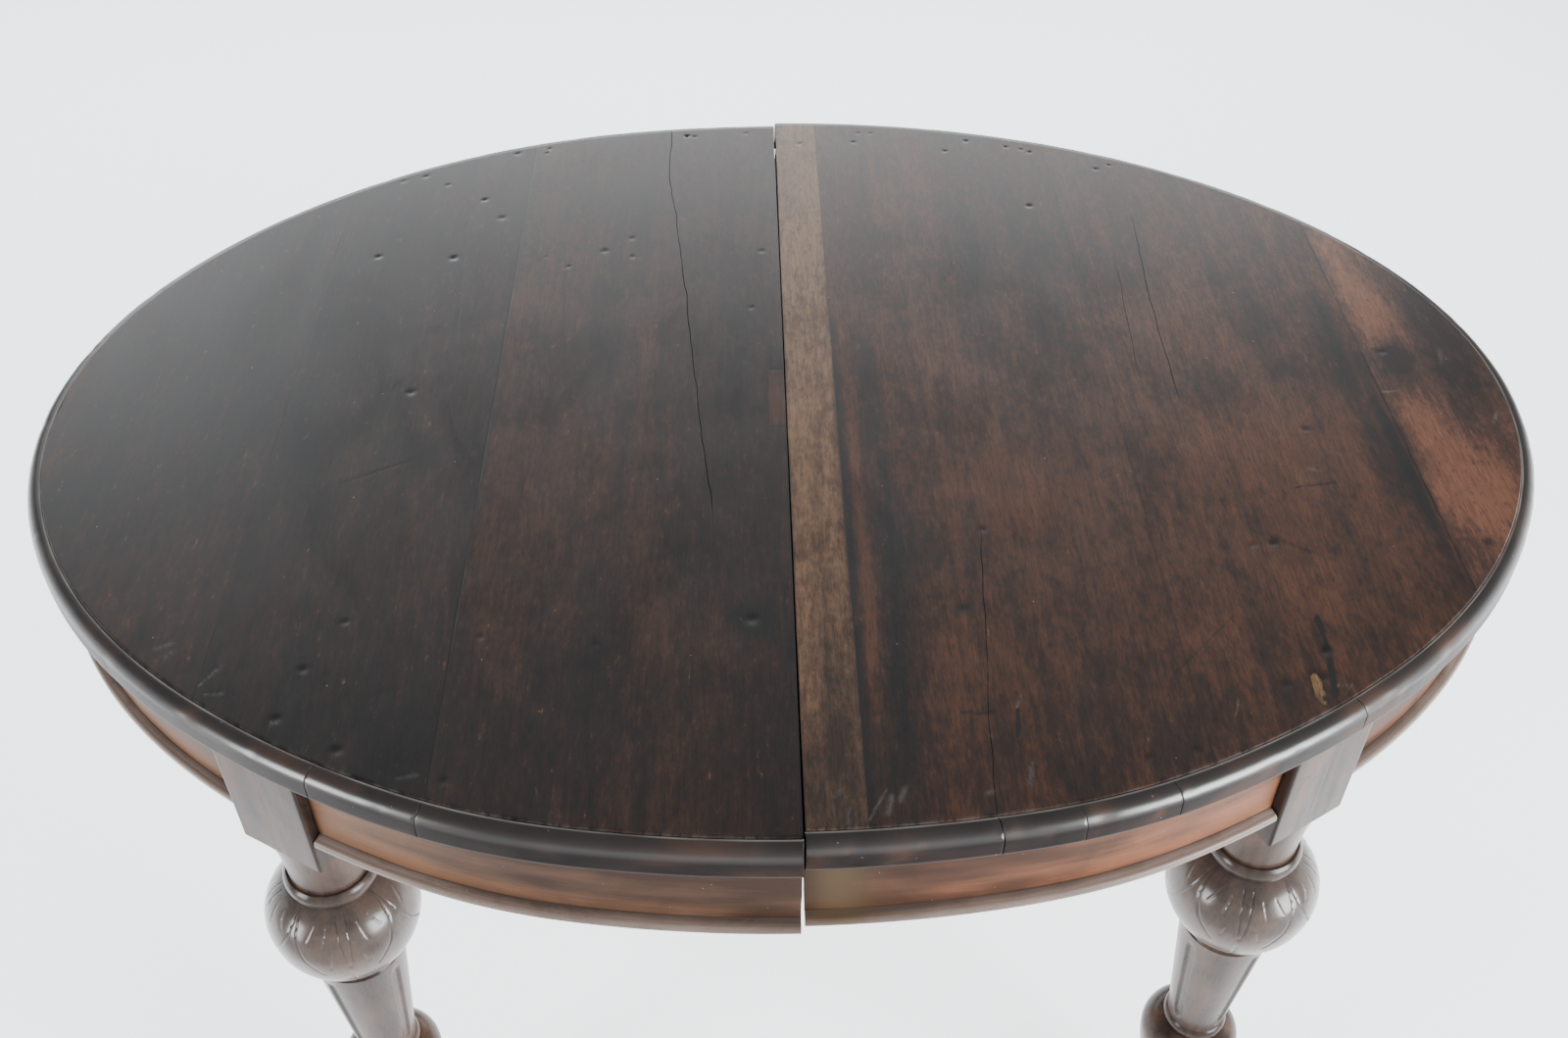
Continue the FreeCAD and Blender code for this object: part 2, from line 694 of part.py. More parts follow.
def leg_turning(name):
    """The leg on its own axis: turned profile, square block and flutes down the shaft."""
    body = doc.addObject("PartDesign::Body", f"{name}_turning")
    corners, bows, shaft_top, shaft_foot = leg_profile()
    profile = loop_sketch(body, "XZ_Plane", f"{name}_profile", corners, bows)
    turned = body.newObject("PartDesign::Revolution", f"{name}_turned")
    turned.Profile = profile
    turned.ReferenceAxis = (profile, ["V_Axis"])
    turned.Angle = 360

    square = [(-BLOCK_HALF, -BLOCK_HALF), (BLOCK_HALF, -BLOCK_HALF),
              (BLOCK_HALF, BLOCK_HALF), (-BLOCK_HALF, BLOCK_HALF)]
    block_plan = loop_sketch(body, "XY_Plane", f"{name}_block_plan", square)
    bind(block_plan, {"AttachmentOffset.Base.z": BLOCK_FOOT})
    block = body.newObject("PartDesign::Pad", f"{name}_block")
    block.Profile = block_plan
    bind(block, {"Length": S.block_height})
    doc.recompute()

    upright_edges = [f"Edge{number}" for number, edge in enumerate(block.Shape.Edges, start=1)
                     if edge.CenterOfMass.z > BLOCK_FOOT.value
                     and edge.BoundBox.ZLength > S.block_height.value / 2]
    eased = body.newObject("PartDesign::Fillet", f"{name}_eased_block")
    eased.Base = (block, upright_edges)
    bind(eased, {"Radius": S.block_edge_round})

    taper = arc_tangent((S.shaft_top_radius - S.shaft_foot_radius) / S.shaft_height)
    half_length = S.shaft_height / 2 - S.flute_margin
    half_width = S.flute_width / 2
    end_bow = (-1, S.flute_width * FLUTE_END_SHARE)
    slot = [(-half_width, -half_length), (half_width, -half_length),
            (half_width, half_length), (-half_width, half_length)]
    flute_plan = loop_sketch(body, "YZ_Plane", f"{name}_flute_plan", slot, {0: end_bow, 2: end_bow})
    flute_plan.AttachmentOffset = FreeCAD.Placement(
        FreeCAD.Vector(), FreeCAD.Rotation(FreeCAD.Vector(1, 0, 0), taper.value))
    bind(flute_plan, {"AttachmentOffset.Base.y": (shaft_top + shaft_foot) / 2,
                      "AttachmentOffset.Base.z": (S.shaft_top_radius + S.shaft_foot_radius) / 2,
                      "AttachmentOffset.Rotation.Angle": taper})
    flute = body.newObject("PartDesign::Pocket", f"{name}_flute")
    flute.Profile = flute_plan
    bind(flute, {"Length": S.flute_depth})
    doc.recompute()
    if flute.Shape.Volume >= eased.Shape.Volume:
        raise RuntimeError(f"{name}: the flute cuts nothing")
    flutes = body.newObject("PartDesign::PolarPattern", f"{name}_flutes")
    flutes.Originals = [flute]
    flutes.Axis = (plane_of(body, "Z_Axis"), [""])
    flutes.Angle = 360
    flutes.Occurrences = FLUTES
    body.Tip = flutes
    return body


def leg(half, frame):
    """One leg, mortised for the aprons on both sides and stood in its place."""
    node = f"{side_name(half, frame.side)}_leg"
    mortises = [tenon(f"{node}_mortise_{number}", None, way, S.tenon_clearance)
                for number, way in enumerate((1, -1), start=1)]
    thing = cut(f"{node}_mortised", leg_turning(node), mortises)
    keep(LegFrame(frame.side, half).place(thing), node)


def glue_blocks(half):
    """Blocks in the corner of the apron and the top, fitted to the apron's curve."""
    inset = APRON_BACK + S.glue_line
    inside = oval(f"{half}_apron_inside", inset, UNDER_TOP - S.overrun - S.glue_block_height, UNDER_TOP)
    levels = (UNDER_TOP - S.glue_block_height, UNDER_TOP)
    reach_x = HALF_LENGTH - inset
    reach_y = HALF_WIDTH - inset
    slabs = []
    for number, share in enumerate(SIDE_BLOCK_SHARES, start=1):
        x = -HALF_LENGTH * share
        y = reach_y * root(1 - x * x / (reach_x * reach_x))
        along = (x - S.glue_block_length / 2, x + S.glue_block_length / 2)
        out = y + S.overrun
        inn = y - S.glue_block_width
        slabs.append(box(f"{half}_front_glue_{number}", along, (OVAL_SHIFT - out, OVAL_SHIFT - inn), levels))
        slabs.append(box(f"{half}_back_glue_{number}", along, (OVAL_SHIFT + inn, OVAL_SHIFT + out), levels))
    for number, side in enumerate((-1, 1), start=1):
        y = (RUNNER_OUTSIDE + S.end_block_gap + S.glue_block_length / 2) * side
        x = reach_x * root(1 - y * y / (reach_y * reach_y))
        along = (-x - S.overrun, -x + S.glue_block_width)
        across = (y + OVAL_SHIFT - S.glue_block_length / 2, y + OVAL_SHIFT + S.glue_block_length / 2)
        slabs.append(box(f"{half}_end_glue_{number}", along, across, levels))
    fitted = [common(f"{slab.Name}_fitted", [slab, inside]) for slab in slabs]
    node = f"{half}_glue_blocks"
    keep(group(node, fitted), node, half)


def runner_bar(name, corners, length):
    """A straight bar along X with a given section."""
    body = doc.addObject("PartDesign::Body", f"{name}_bar")
    section = loop_sketch(body, "YZ_Plane", f"{name}_section", corners)
    bar = body.newObject("PartDesign::Pad", f"{name}_pad")
    bar.Profile = section
    bind(bar, {"Length": length})
    return body


def fixed_runners(half):
    """The two runners fixed under a half. Each has a dovetailed groove for the carriage's tongue, lies
    clear of the other half's boards, and carries counterbored screw holes and a slot for a stop peg."""
    width = S.runner_width
    level = TONGUE_LEVEL - RUNNER_FOOT
    mouth = S.tongue_root_height / 2 + S.tongue_clearance
    floor = S.tongue_tip_height / 2 + S.tongue_clearance
    depth = S.tongue_depth + S.tongue_clearance
    section = [(ZERO, ZERO), (width, ZERO), (width, level - mouth), (width - depth, level - floor),
               (width - depth, level + floor), (width, level + mouth), (width, S.runner_height),
               (ZERO, S.runner_height)]
    holes = {"outer": [], "inner": []}
    for name, x, y in screw_places(half):
        counterbore = cylinder(f"{name}_counterbore", S.screw_sink_radius, S.screw_sink_depth + S.overrun,
                               x, y, RUNNER_FOOT - S.overrun)
        seated = screw_hole(name, x, y, SCREW_SEAT, SCREW_LENGTH)
        holes["outer" if "outer" in name else "inner"].extend(seated + [counterbore])
    tracks = {"outer": -S.runner_track - RUNNER_PITCH, "inner": S.runner_track - RUNNER_PITCH}
    for track, middle in tracks.items():
        node = f"{half}_{track}_runner"
        bar = runner_bar(node, section, RUNNER_END + RUNNER_FREE_END)
        put(bar, -RUNNER_END, middle - width / 2, RUNNER_FOOT)
        across = (middle - width, middle + width)
        relief = box(f"{node}_relief", (-SEAM - S.runner_relief_lead, RUNNER_END), across,
                     (CARRIAGE_TOP, UNDER_TOP + S.overrun))
        ease = S.stop_radius + S.stop_clearance
        groove_floor = middle + width / 2 - depth
        slot = box(f"{node}_slot", (-STOP_X - ease, -STOP_X + S.carriage_travel + ease),
                   (groove_floor - S.stop_slot_depth, groove_floor + S.tongue_clearance),
                   (TONGUE_LEVEL - ease, TONGUE_LEVEL + ease))
        keep(cut(node, bar, [relief, slot] + holes[track]), node, half)


def runner_screws(half):
    """The screws that hold both fixed runners of a half up to its boards."""
    node = f"{half}_runner_screws"
    screws = [screw(name, x, y, SCREW_SEAT, SCREW_LENGTH) for name, x, y in screw_places(half)]
    keep(group(node, screws), node, half)


def tie_screw_places():
    """The carriage's tie screws, one at each crossing of a tie and a middle runner."""
    for tie_side in (-1, 1):
        for track_side in (-1, 1):
            yield f"tie_screw_{tie_side}_{track_side}", S.tie_offset * tie_side, S.runner_track * track_side


def stop_places():
    """The stop pegs: one on each face of both middle runners, near opposite ends."""
    for track_side in (-1, 1):
        for face in (-1, 1):
            yield track_side, face, STOP_X * (1 if face > 0 else -1)


def carriage():
    """The two middle runners, their ties, stop pegs and screws: they travel half as far as the right half."""
    width = S.runner_width
    level = TONGUE_LEVEL - CARRIAGE_FOOT
    height = CARRIAGE_TOP - CARRIAGE_FOOT
    neck = S.tongue_root_height / 2
    tip = S.tongue_tip_height / 2
    out = S.tongue_depth
    section = [(ZERO, ZERO), (width, ZERO), (width, level - neck), (width + out, level - tip),
               (width + out, level + tip), (width, level + neck), (width, height), (ZERO, height),
               (ZERO, level + neck), (-out, level + tip), (-out, level - tip), (ZERO, level - neck)]
    holes = {-1: [], 1: []}
    pegs = []
    for track_side, face, x in stop_places():
        tip_y = S.runner_track * track_side + (width / 2 + out) * face
        inner_y = tip_y - S.stop_root * face
        start = inner_y if face > 0 else tip_y - S.stop_reach
        name = f"stop_{track_side}_{face}"
        axis = FreeCAD.Vector(0, 1, 0)
        pegs.append(cylinder(f"{name}_peg", S.stop_radius, S.stop_root + S.stop_reach, x, start,
                             TONGUE_LEVEL, axis))
        hole_start = inner_y if face > 0 else tip_y - S.overrun
        holes[track_side].append(cylinder(f"{name}_hole", S.stop_radius + S.peg_fit, S.stop_root + S.overrun,
                                          x, hole_start, TONGUE_LEVEL, axis))
    screws = []
    tie_foot = CARRIAGE_FOOT - S.tie_thickness
    tie_holes = {-1: [], 1: []}
    for name, x, y in tie_screw_places():
        length = S.tie_thickness + S.tie_screw_grip
        screws.append(screw(name, x, y, tie_foot, length))
        bore, sink = screw_hole(name, x, y, tie_foot, length)
        holes[-1 if y.value < 0 else 1].append(bore)
        tie_holes[-1 if x.value < 0 else 1].extend([bore, sink])
    for track_side, side in ((-1, "front"), (1, "back")):
        node = f"{side}_middle_runner"
        bar = runner_bar(node, section, CARRIAGE_END * 2)
        put(bar, -CARRIAGE_END, S.runner_track * track_side - width / 2, CARRIAGE_FOOT)
        keep(cut(node, bar, holes[track_side]), node)
    reach = S.runner_track + width / 2
    for tie_side, side in ((-1, "left"), (1, "right")):
        node = f"{side}_runner_tie"
        middle = S.tie_offset * tie_side
        plank = box(f"{node}_plank", (middle - S.tie_width / 2, middle + S.tie_width / 2), (-reach, reach),
                    (tie_foot, CARRIAGE_FOOT))
        keep(cut(node, plank, tie_holes[tie_side]), node)
    keep(group("stop_pegs", pegs), "stop_pegs")
    keep(group("tie_screws", screws), "tie_screws")


def seam_pegs():
    """Wooden pegs glued in the left seam edge, which line the halves up when the table is shut."""
    pegs = []
    for number, y in peg_places():
        length = S.peg_depth * 2 + S.seam_gap
        pegs.append(cylinder(f"seam_peg_{number}", S.peg_radius, length, -SEAM - S.peg_depth, y, PEG_LEVEL,
                             FreeCAD.Vector(1, 0, 0)))
    keep(group("seam_pegs", pegs), "seam_pegs")


def build():
    for half in ("left", "right"):
        frames = [LegFrame("front"), LegFrame("back")]
        boards(half)
        rims(half)
        aprons(half, frames)
        beads(half, frames)
        for frame in frames:
            leg(half, frame)
        glue_blocks(half)
        fixed_runners(half)
        runner_screws(half)
    carriage()
    seam_pegs()


def check():
    """Stop before anything is written if an object failed or a piece is empty or broken."""
    for thing in doc.Objects:
        if "Invalid" in thing.State or "Error" in thing.State:
            raise RuntimeError(f"{thing.Label} failed: {thing.State}")
    for node, thing in nodes.items():
        shape = thing.Shape
        if shape.isNull() or not shape.isValid() or not shape.Solids:
            raise RuntimeError(f"{node} has no valid solid")


def write():
    os.makedirs("parts", exist_ok=True)
    for node, thing in nodes.items():
        thing.Shape.exportStep(os.path.join("parts", f"{node}.step"))


build()
doc.recompute()
check()
write()
print(f"{len(nodes)} pieces")
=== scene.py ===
"""Looks of an old oval dining table that draws out on wooden runners.

Lengths are in metres, in the table's own frame: X along the table, Y along the seam between its two halves,
Z up, with the origin on the floor under the middle of the seam. The front is on the -Y side.
"""

import logging
import math
from dataclasses import dataclass, field
from enum import Enum, IntEnum
from typing import Any, Sequence

import bmesh
import bpy
import numpy as np
from mathutils import Matrix, Vector


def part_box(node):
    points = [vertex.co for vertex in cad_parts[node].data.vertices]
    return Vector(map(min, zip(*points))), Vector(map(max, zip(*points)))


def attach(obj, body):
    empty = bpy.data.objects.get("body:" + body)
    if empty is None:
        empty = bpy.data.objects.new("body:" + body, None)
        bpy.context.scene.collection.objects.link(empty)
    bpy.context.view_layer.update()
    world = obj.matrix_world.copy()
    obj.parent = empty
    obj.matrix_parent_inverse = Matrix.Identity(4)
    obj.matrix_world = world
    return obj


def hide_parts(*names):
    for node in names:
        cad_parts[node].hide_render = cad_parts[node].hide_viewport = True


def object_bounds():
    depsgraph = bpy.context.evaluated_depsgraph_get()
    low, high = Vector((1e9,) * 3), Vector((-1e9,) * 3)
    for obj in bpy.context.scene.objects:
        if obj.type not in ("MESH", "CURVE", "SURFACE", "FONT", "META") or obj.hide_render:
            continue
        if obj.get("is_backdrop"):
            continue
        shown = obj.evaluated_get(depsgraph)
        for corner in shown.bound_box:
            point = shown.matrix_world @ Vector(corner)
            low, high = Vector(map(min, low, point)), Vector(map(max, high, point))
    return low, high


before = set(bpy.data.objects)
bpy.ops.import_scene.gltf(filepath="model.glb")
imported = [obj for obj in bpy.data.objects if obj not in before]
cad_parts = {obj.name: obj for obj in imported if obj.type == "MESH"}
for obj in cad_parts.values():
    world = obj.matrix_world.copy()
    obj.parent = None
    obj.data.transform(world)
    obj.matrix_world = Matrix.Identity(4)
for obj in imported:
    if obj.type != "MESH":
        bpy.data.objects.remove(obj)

log = logging.getLogger("oval_table")

Array = np.ndarray
Colour = tuple[float, float, float]
MM = 0.001
# Half the width and the top of the square block at each leg's head, which the aprons meet
BLOCK_HALF = 41.6 * MM
BLOCK_TOP = 0.727
# Heading of a leg's outer face, from the table's length
LEG_SPREAD_DEG = 60.05
# The rim's width, and how far the boards' edge lies inside the outline
RIM_WIDTH = 15.0 * MM
BOARD_INSET = 15.2 * MM
# How far two seam ends stand from the middle of the seam where they nearly meet
SEAM_TOUCH = 0.03 * MM


class Half(Enum):
    """The two halves of the table, each with the sign of its side along X."""

    LEFT = -1
    RIGHT = 1

    @property
    def body(self) -> str:
        """The body that this half's pieces ride on."""
        return f"{self.name.lower()}_half"

    def node(self, name: str) -> str:
        """The name of a node of this half."""
        return f"{self.name.lower()}_{name}"


class Seed(IntEnum):
    """Seeds of the random reliefs and scatters."""

    BOARD_CUP = 3
    RIM_DUST = 5
    SEAM_EDGE = 9
    FIRST_LEG = 11
    RIM_WEAR = 17
    CHIP_EDGE = 21
    BOARD_SCUFF = 27
    RIM_WAVES = 31
    RIM_RIPPLES = 33
    WORM_HOLES = 41
    FIRST_SKIRT = 60
    RIM_KNOCKS = 77


# Shader maths


class Value:
    """A socket of a shader. Arithmetic on it adds Math nodes."""

    def __init__(self, shader: "Shader", socket: bpy.types.NodeSocket) -> None:
        """Wrap a socket of a shader's tree."""
        self.shader = shader
        self.socket = socket

    def _math(self, operation: str, first: Any, second: Any) -> "Value":
        """Add one Math node."""
        return self.shader.node("ShaderNodeMath", {"operation": operation}, {0: first, 1: second})

    def __add__(self, other: Any) -> "Value":
        """Sum."""
        return self._math("ADD", self, other)

    def __sub__(self, other: Any) -> "Value":
        """Difference."""
        return self._math("SUBTRACT", self, other)

    def __rsub__(self, other: Any) -> "Value":
        """Difference with a number first."""
        return self._math("SUBTRACT", other, self)

    def __mul__(self, other: Any) -> "Value":
        """Product."""
        return self._math("MULTIPLY", self, other)


class Shader:
    """The node tree of one material, built round its Principled shader."""

    def __init__(self, name: str) -> None:
        """Start a material with nothing but its Principled shader and output.

        Args:
            name: The material's name.
        """
        self.material = bpy.data.materials.new(name)
        self.material.use_nodes = True
        self.tree = self.material.node_tree
        self.principled = next(n for n in self.tree.nodes if n.type == "BSDF_PRINCIPLED")

    def feed(self, target: bpy.types.NodeSocket, value: Any) -> None:
        """Set a socket to a number or colour, or link a value to it.

        Args:
            target: The input socket.
            value: A Value, a number, or a sequence of numbers.
        """
        if isinstance(value, Value):
            self.tree.links.new(value.socket, target)
        elif target.type == "RGBA" and len(value) == 3:
            target.default_value = (*value, 1.0)
        else:
            target.default_value = value

    def node(self, kind: str, settings: dict[str, Any] | None = None,
             sockets: dict[Any, Any] | None = None, output: Any = 0) -> Value:
        """Add a node.

        Args:
            kind: The node's type.
            settings: Its own properties, set first; "stops" holds a ramp's (place, colour) pairs.
            sockets: Values or links of its inputs, by name or number.
            output: The output to hand back, by name or number.

        Returns:
            The chosen output.
        """
        made = self.tree.nodes.new(kind)
        for name, value in (settings or {}).items():
            if name == "stops":
                ramp = made.color_ramp.elements
                while len(ramp) < len(value):
                    ramp.new(1.0)
                for element, (place, shade) in zip(ramp, value):
                    element.position = place
                    element.color = (*shade, 1.0)
            else:
                setattr(made, name, value)
        for key, value in (sockets or {}).items():
            self.feed(made.inputs[key], value)
        return Value(self, made.outputs[output])

    def place(self, scale: Sequence[float], offset: Sequence[float] = (0, 0, 0)) -> Value:
        """Object coordinates, stretched and moved.

        Args:
            scale: Stretch along each axis.
            offset: Move along each axis, after the stretch.

        Returns:
            The coordinates.
        """
        here = self.node("ShaderNodeTexCoord", output="Object")
        return self.node("ShaderNodeMapping", {}, {"Vector": here, "Scale": scale, "Location": offset})

    def noise(self, where: Value, detail: float, rough: float, distort: float = 0.0) -> Value:
        """Smooth noise from 0 to 1 at coordinates, one cell to the unit."""
        return self.node("ShaderNodeTexNoise", {}, {"Vector": where, "Scale": 1.0, "Detail": detail,
                                                    "Roughness": rough, "Distortion": distort})

    def grain(self, scale: Sequence[float], detail: float, rough: float, distort: float = 0.0,
              shift: Sequence[float] = (0, 0, 0)) -> Value:
        """Smooth noise at object coordinates, with so many cells to the metre along each axis."""
        return self.noise(self.place(scale, shift), detail, rough, distort)

    def step(self, value: Value, low: float, high: float) -> Value:
        """A smooth rise from 0 at low to 1 at high."""
        return self.node("ShaderNodeMapRange", {"interpolation_type": "SMOOTHSTEP"},
                         {"Value": value, "From Min": low, "From Max": high})

    def mix(self, share: Any, first: Any, second: Any, blend: str = "MIX") -> Value:
        """A mix of two colours, from the first at share 0 to the second at share 1."""
        return self.node("ShaderNodeMix", {"data_type": "RGBA", "blend_type": blend},
                         {"Factor": share, 6: first, 7: second}, output=2)

    def shade(self, colour: Value, share: Value) -> Value:
        """A colour times a number."""
        grey = self.node("ShaderNodeCombineColor", {}, {0: share, 1: share, 2: share})
        return self.mix(1.0, colour, grey, "MULTIPLY")

    def wood(self, figure: Value, shades: Sequence[Colour], spread: float = 0.2, first: float = 0.1) -> Value:
        """The colour of wood: a ramp from a deep shade through the body to a warm one.

        Args:
            figure: The grain's figure, which is 0.5 on the body.
            shades: Deep, body and warm colours.
            spread: How far the figure passes 0 and 1 before the ramp ends.
            first: Place of the deep shade on the ramp.

        Returns:
            The colour.
        """
        stops = tuple(zip((first, 0.5, 0.92), shades))
        level = self.step(figure, -spread, 1 + spread)
        return self.node("ShaderNodeValToRGB", {"stops": stops}, {"Fac": level})

    def attribute(self, name: str) -> Value:
        """A number that a piece's mesh holds at its points."""
        return self.node("ShaderNodeAttribute", {"attribute_name": name}, output="Fac")

    def specks(self, where: Value, scale: float, radius: float, rarity: float) -> Value:
        """Scattered round specks: 1 inside, 0 outside.

        Args:
            where: Coordinates in metres.
            scale: Cells to the metre.
            radius: Radius of a speck as a share of a cell.
            rarity: Share of the cells that stay empty.

        Returns:
            The specks' mask.
        """
        inputs = {"Vector": where, "Scale": scale}
        near = self.node("ShaderNodeTexVoronoi", {}, inputs, "Distance")
        chance = self.node("ShaderNodeTexVoronoi", {}, inputs, "Color")
        pick = self.node("ShaderNodeSeparateColor", {}, {0: chance}, "Red")
        return (1 - self.step(near, radius * 0.5, radius)) * self.step(pick, rarity, rarity + 0.02)

    def bump(self, height: Value, strength: float, distance: float) -> Value:
        """A normal that follows a height."""
        return self.node("ShaderNodeBump", {}, {"Height": height, "Strength": strength,
                                                "Distance": distance}, "Normal")

    def finish(self, **sockets: Any) -> bpy.types.Material:
        """Set the Principled shader's sockets, by name with underscores for spaces.

        Returns:
            The finished material.
        """
        for name, value in sockets.items():
            self.feed(self.principled.inputs[name.replace("_", " ")], value)
        return self.material


# Finishes


@dataclass(frozen=True)
class BoardFinish:
    """Old dark polish over a board whose grain runs along Y, with blotches, pores, dust and scratches."""

    name: str
    deep: Colour = (0.015, 0.0092, 0.0078)
    body: Colour = (0.059, 0.0222, 0.0120)
    warm: Colour = (0.158, 0.056, 0.024)
    pale: Colour = (0.33, 0.185, 0.075)
    dust: Colour = (0.40, 0.37, 0.33)
    rub: Colour = (0.20, 0.19, 0.18)
    tone: float = 0.0
    light: float = 1.0
    shift: tuple[float, float, float] = (0.0, 0.0, 0.0)
    roughness: float = 0.34

    def material(self) -> bpy.types.Material:
        """Build the material.

        Returns:
            The finished material.
        """
        s = Shader(self.name)
        stain, chip, scuff = (s.attribute(name) for name in ("stain", "chip", "scuff"))
        streak = s.grain((48, 4.5, 4), 6, 0.62, 0.3, self.shift)
        bands = s.grain((12, 0.9, 2), 3, 0.5, 0.6, self.shift)
        blotch = s.grain((11, 7.5, 3), 6, 0.66, 0.7, self.shift)
        mottle = s.grain((150, 60, 10), 5, 0.75, 0.0, self.shift)
        fibre = s.grain((420, 30, 60), 4, 0.75, 0.0, self.shift)
        pore = s.grain((760, 90, 80), 2, 0.6, 0.0, self.shift)
        soot = s.grain((17, 10, 5), 5, 0.62, 0.9, self.shift)
        hair = s.grain((9, 7, 3), 1, 0.4, 0.2, self.shift)
        lint = s.specks(s.place((1, 1, 1), self.shift), 60, 0.05, 0.82)
        broad = (streak - 0.5) + (blotch - 0.5) + (bands - 0.5) * 0.7
        figure = broad + (mottle - 0.5) * 1.35 + stain + (0.5 + self.tone)
        ground = s.wood(figure, (self.deep, self.body, self.warm), 0.25, 0.12)
        grained = s.shade(ground, ((fibre - 0.5) * 2.0 + 1.0) * self.light)
        pored = s.mix(s.step(pore, 0.58, 0.70) * 0.7, grained, self.deep)
        inked = s.mix(s.step(soot, 0.56, 0.72) * 0.4, pored, self.deep)
        ragged = s.step(chip + (fibre - 0.5) * 1.2 + (mottle - 0.5) * 2.2, 0.34, 0.52)
        split_wood = s.mix(s.step(fibre, 0.35, 0.65), self.pale, self.body)
        chipped = s.mix(ragged, s.mix(s.step(chip, 0.0, 0.3) * 0.8, inked, self.deep), split_wood)
        scratch = (1 - s.step((hair - 0.5) * (hair - 0.5), 0.0, 0.0000025)) * s.step(blotch, 0.46, 0.62)
        marked = s.mix(scratch * 0.35, chipped, self.deep)
        rubbed = s.mix(scuff * s.step(mottle, 0.32, 0.6), marked, self.rub)
        dusted = s.mix(lint * 0.7, rubbed, self.dust)
        rough = (blotch - 0.5) * 0.25 + (fibre - 0.5) * 0.12 + self.roughness + lint * 0.3
        height = fibre * 0.6 + pore * 0.25 + streak * 0.6
        return s.finish(Base_Color=dusted, Roughness=rough, Normal=s.bump(height, 0.2, 0.0006))


@dataclass(frozen=True)
class MouldingFinish:
    """Polished wood on a piece that follows the oval: grain along the curve, wear from the mesh or noise."""

    name: str
    deep: Colour
    body: Colour
    warm: Colour
    roughness: float = 0.32
    grain: float = 1.0
    mottle: float = 1.0
    dust: Colour = (0.42, 0.39, 0.36)
    faded: Colour = (0.112, 0.072, 0.038)
    ratio: float = 1.34
    reach: float = 0.62
    bump: float = 0.12
    sheen: float = 0.25
    polish: float = 0.0

    def material(self) -> bpy.types.Material:
        """Build the material. Grain runs along the angle round the oval, times a mean reach, and height.

        Returns:
            The finished material.
        """
        s = Shader(self.name)
        here = s.node("ShaderNodeTexCoord", output="Object")
        split = [s.node("ShaderNodeSeparateXYZ", {}, {0: here}, axis) for axis in ("X", "Y", "Z")]
        turn = s.node("ShaderNodeMath", {"operation": "ARCTAN2"}, {0: split[1] * self.ratio, 1: split[0]})
        along = s.node("ShaderNodeCombineXYZ", {}, {0: turn * self.reach, 1: split[2], 2: split[0] * 0.02})
        cells = [s.node("ShaderNodeMapping", {}, {"Vector": along, "Scale": scale})
                 for scale in ((3.2, 34, 1), (18, 620, 1), (60, 1500, 1))]
        streak = s.noise(cells[0], 5, 0.6, 0.4)
        fibre = s.noise(cells[1], 3, 0.6)
        pore = s.noise(cells[2], 2, 0.5)
        blotch = s.grain((9, 9, 9), 5, 0.6, 0.7)
        lint = s.specks(s.place((1, 1, 1)), 120, 0.08, 0.74)
        worn, dusty, fade = (s.attribute(name) for name in ("worn", "dust", "fade"))
        figure = (streak - 0.5) * 1.5 * self.grain + (blotch - 0.5) * 1.5 * self.mottle + worn + 0.5
        ground = s.wood(figure, (self.deep, self.body, self.warm))
        grained = s.shade(ground, (fibre - 0.5) * 0.5 * self.grain + 1.0)
        pored = s.mix(s.step(pore, 0.60, 0.74) * 0.4 * self.grain, grained, self.deep)
        aged = s.mix(fade * 0.7, pored, self.faded)
        dusted = s.mix(dusty + lint * 0.5, aged, self.dust)
        rough = (blotch - 0.5) * 0.24 + (fibre - 0.5) * 0.08 + self.roughness + dusty * 0.3
        height = fibre * 0.5 + blotch * 0.8
        coat = s.attribute("polish") * self.polish if self.polish else 0.0
        return s.finish(Base_Color=dusted, Roughness=rough, Normal=s.bump(height, self.bump, 0.0008),
                        Specular_IOR_Level=self.sheen, Coat_Weight=coat, Coat_Roughness=0.3, Coat_IOR=1.8)


@dataclass(frozen=True)
class LegFinish:
    """Turned, carved wood with upright grain, darkened in its hollows and rubbed on its high spots."""

    name: str
    deep: Colour = (0.018, 0.0135, 0.012)
    body: Colour = (0.058, 0.042, 0.035)
    warm: Colour = (0.120, 0.078, 0.058)
    cut: Colour = (0.20, 0.185, 0.175)
    dull: Colour = (1.12, 0.93, 0.80)
    bright: Colour = (0.95, 1.02, 1.10)
    roughness: float = 0.30
    sheen: float = 0.1

    def material(self) -> bpy.types.Material:
        """Build the material.

        Returns:
            The finished material.
        """
        s = Shader(self.name)
        tone, carved, polish = (s.attribute(name) for name in ("tone", "carve", "polish"))
        streak = s.grain((44, 44, 3.4), 5, 0.6, 0.3)
        blotch = s.grain((13, 13, 9), 5, 0.6, 0.8)
        fibre = s.grain((420, 420, 13), 3, 0.6)
        pore = s.grain((900, 900, 42), 2, 0.5)
        figure = (streak - 0.5) * 1.2 + (blotch - 0.5) * 1.4 + tone + 0.5
        ground = s.wood(figure, (self.deep, self.body, self.warm))
        grained = s.shade(ground, (fibre - 0.5) * 0.45 + 1.0)
        pored = s.mix(s.step(pore, 0.61, 0.74) * 0.45, grained, self.deep)
        hued = s.mix(1.0, pored, s.mix(polish, self.dull, self.bright), "MULTIPLY")
        coloured = s.mix(carved * 0.35, hued, self.cut)
        rough = (blotch - 0.5) * 0.25 + (fibre - 0.5) * 0.08 + self.roughness + carved * 0.25
        return s.finish(Base_Color=coloured, Roughness=rough, Specular_IOR_Level=self.sheen,
                        Coat_Weight=polish, Coat_Roughness=0.22,
                        Normal=s.bump(fibre * 0.5 + streak * 0.7, 0.12, 0.0006))


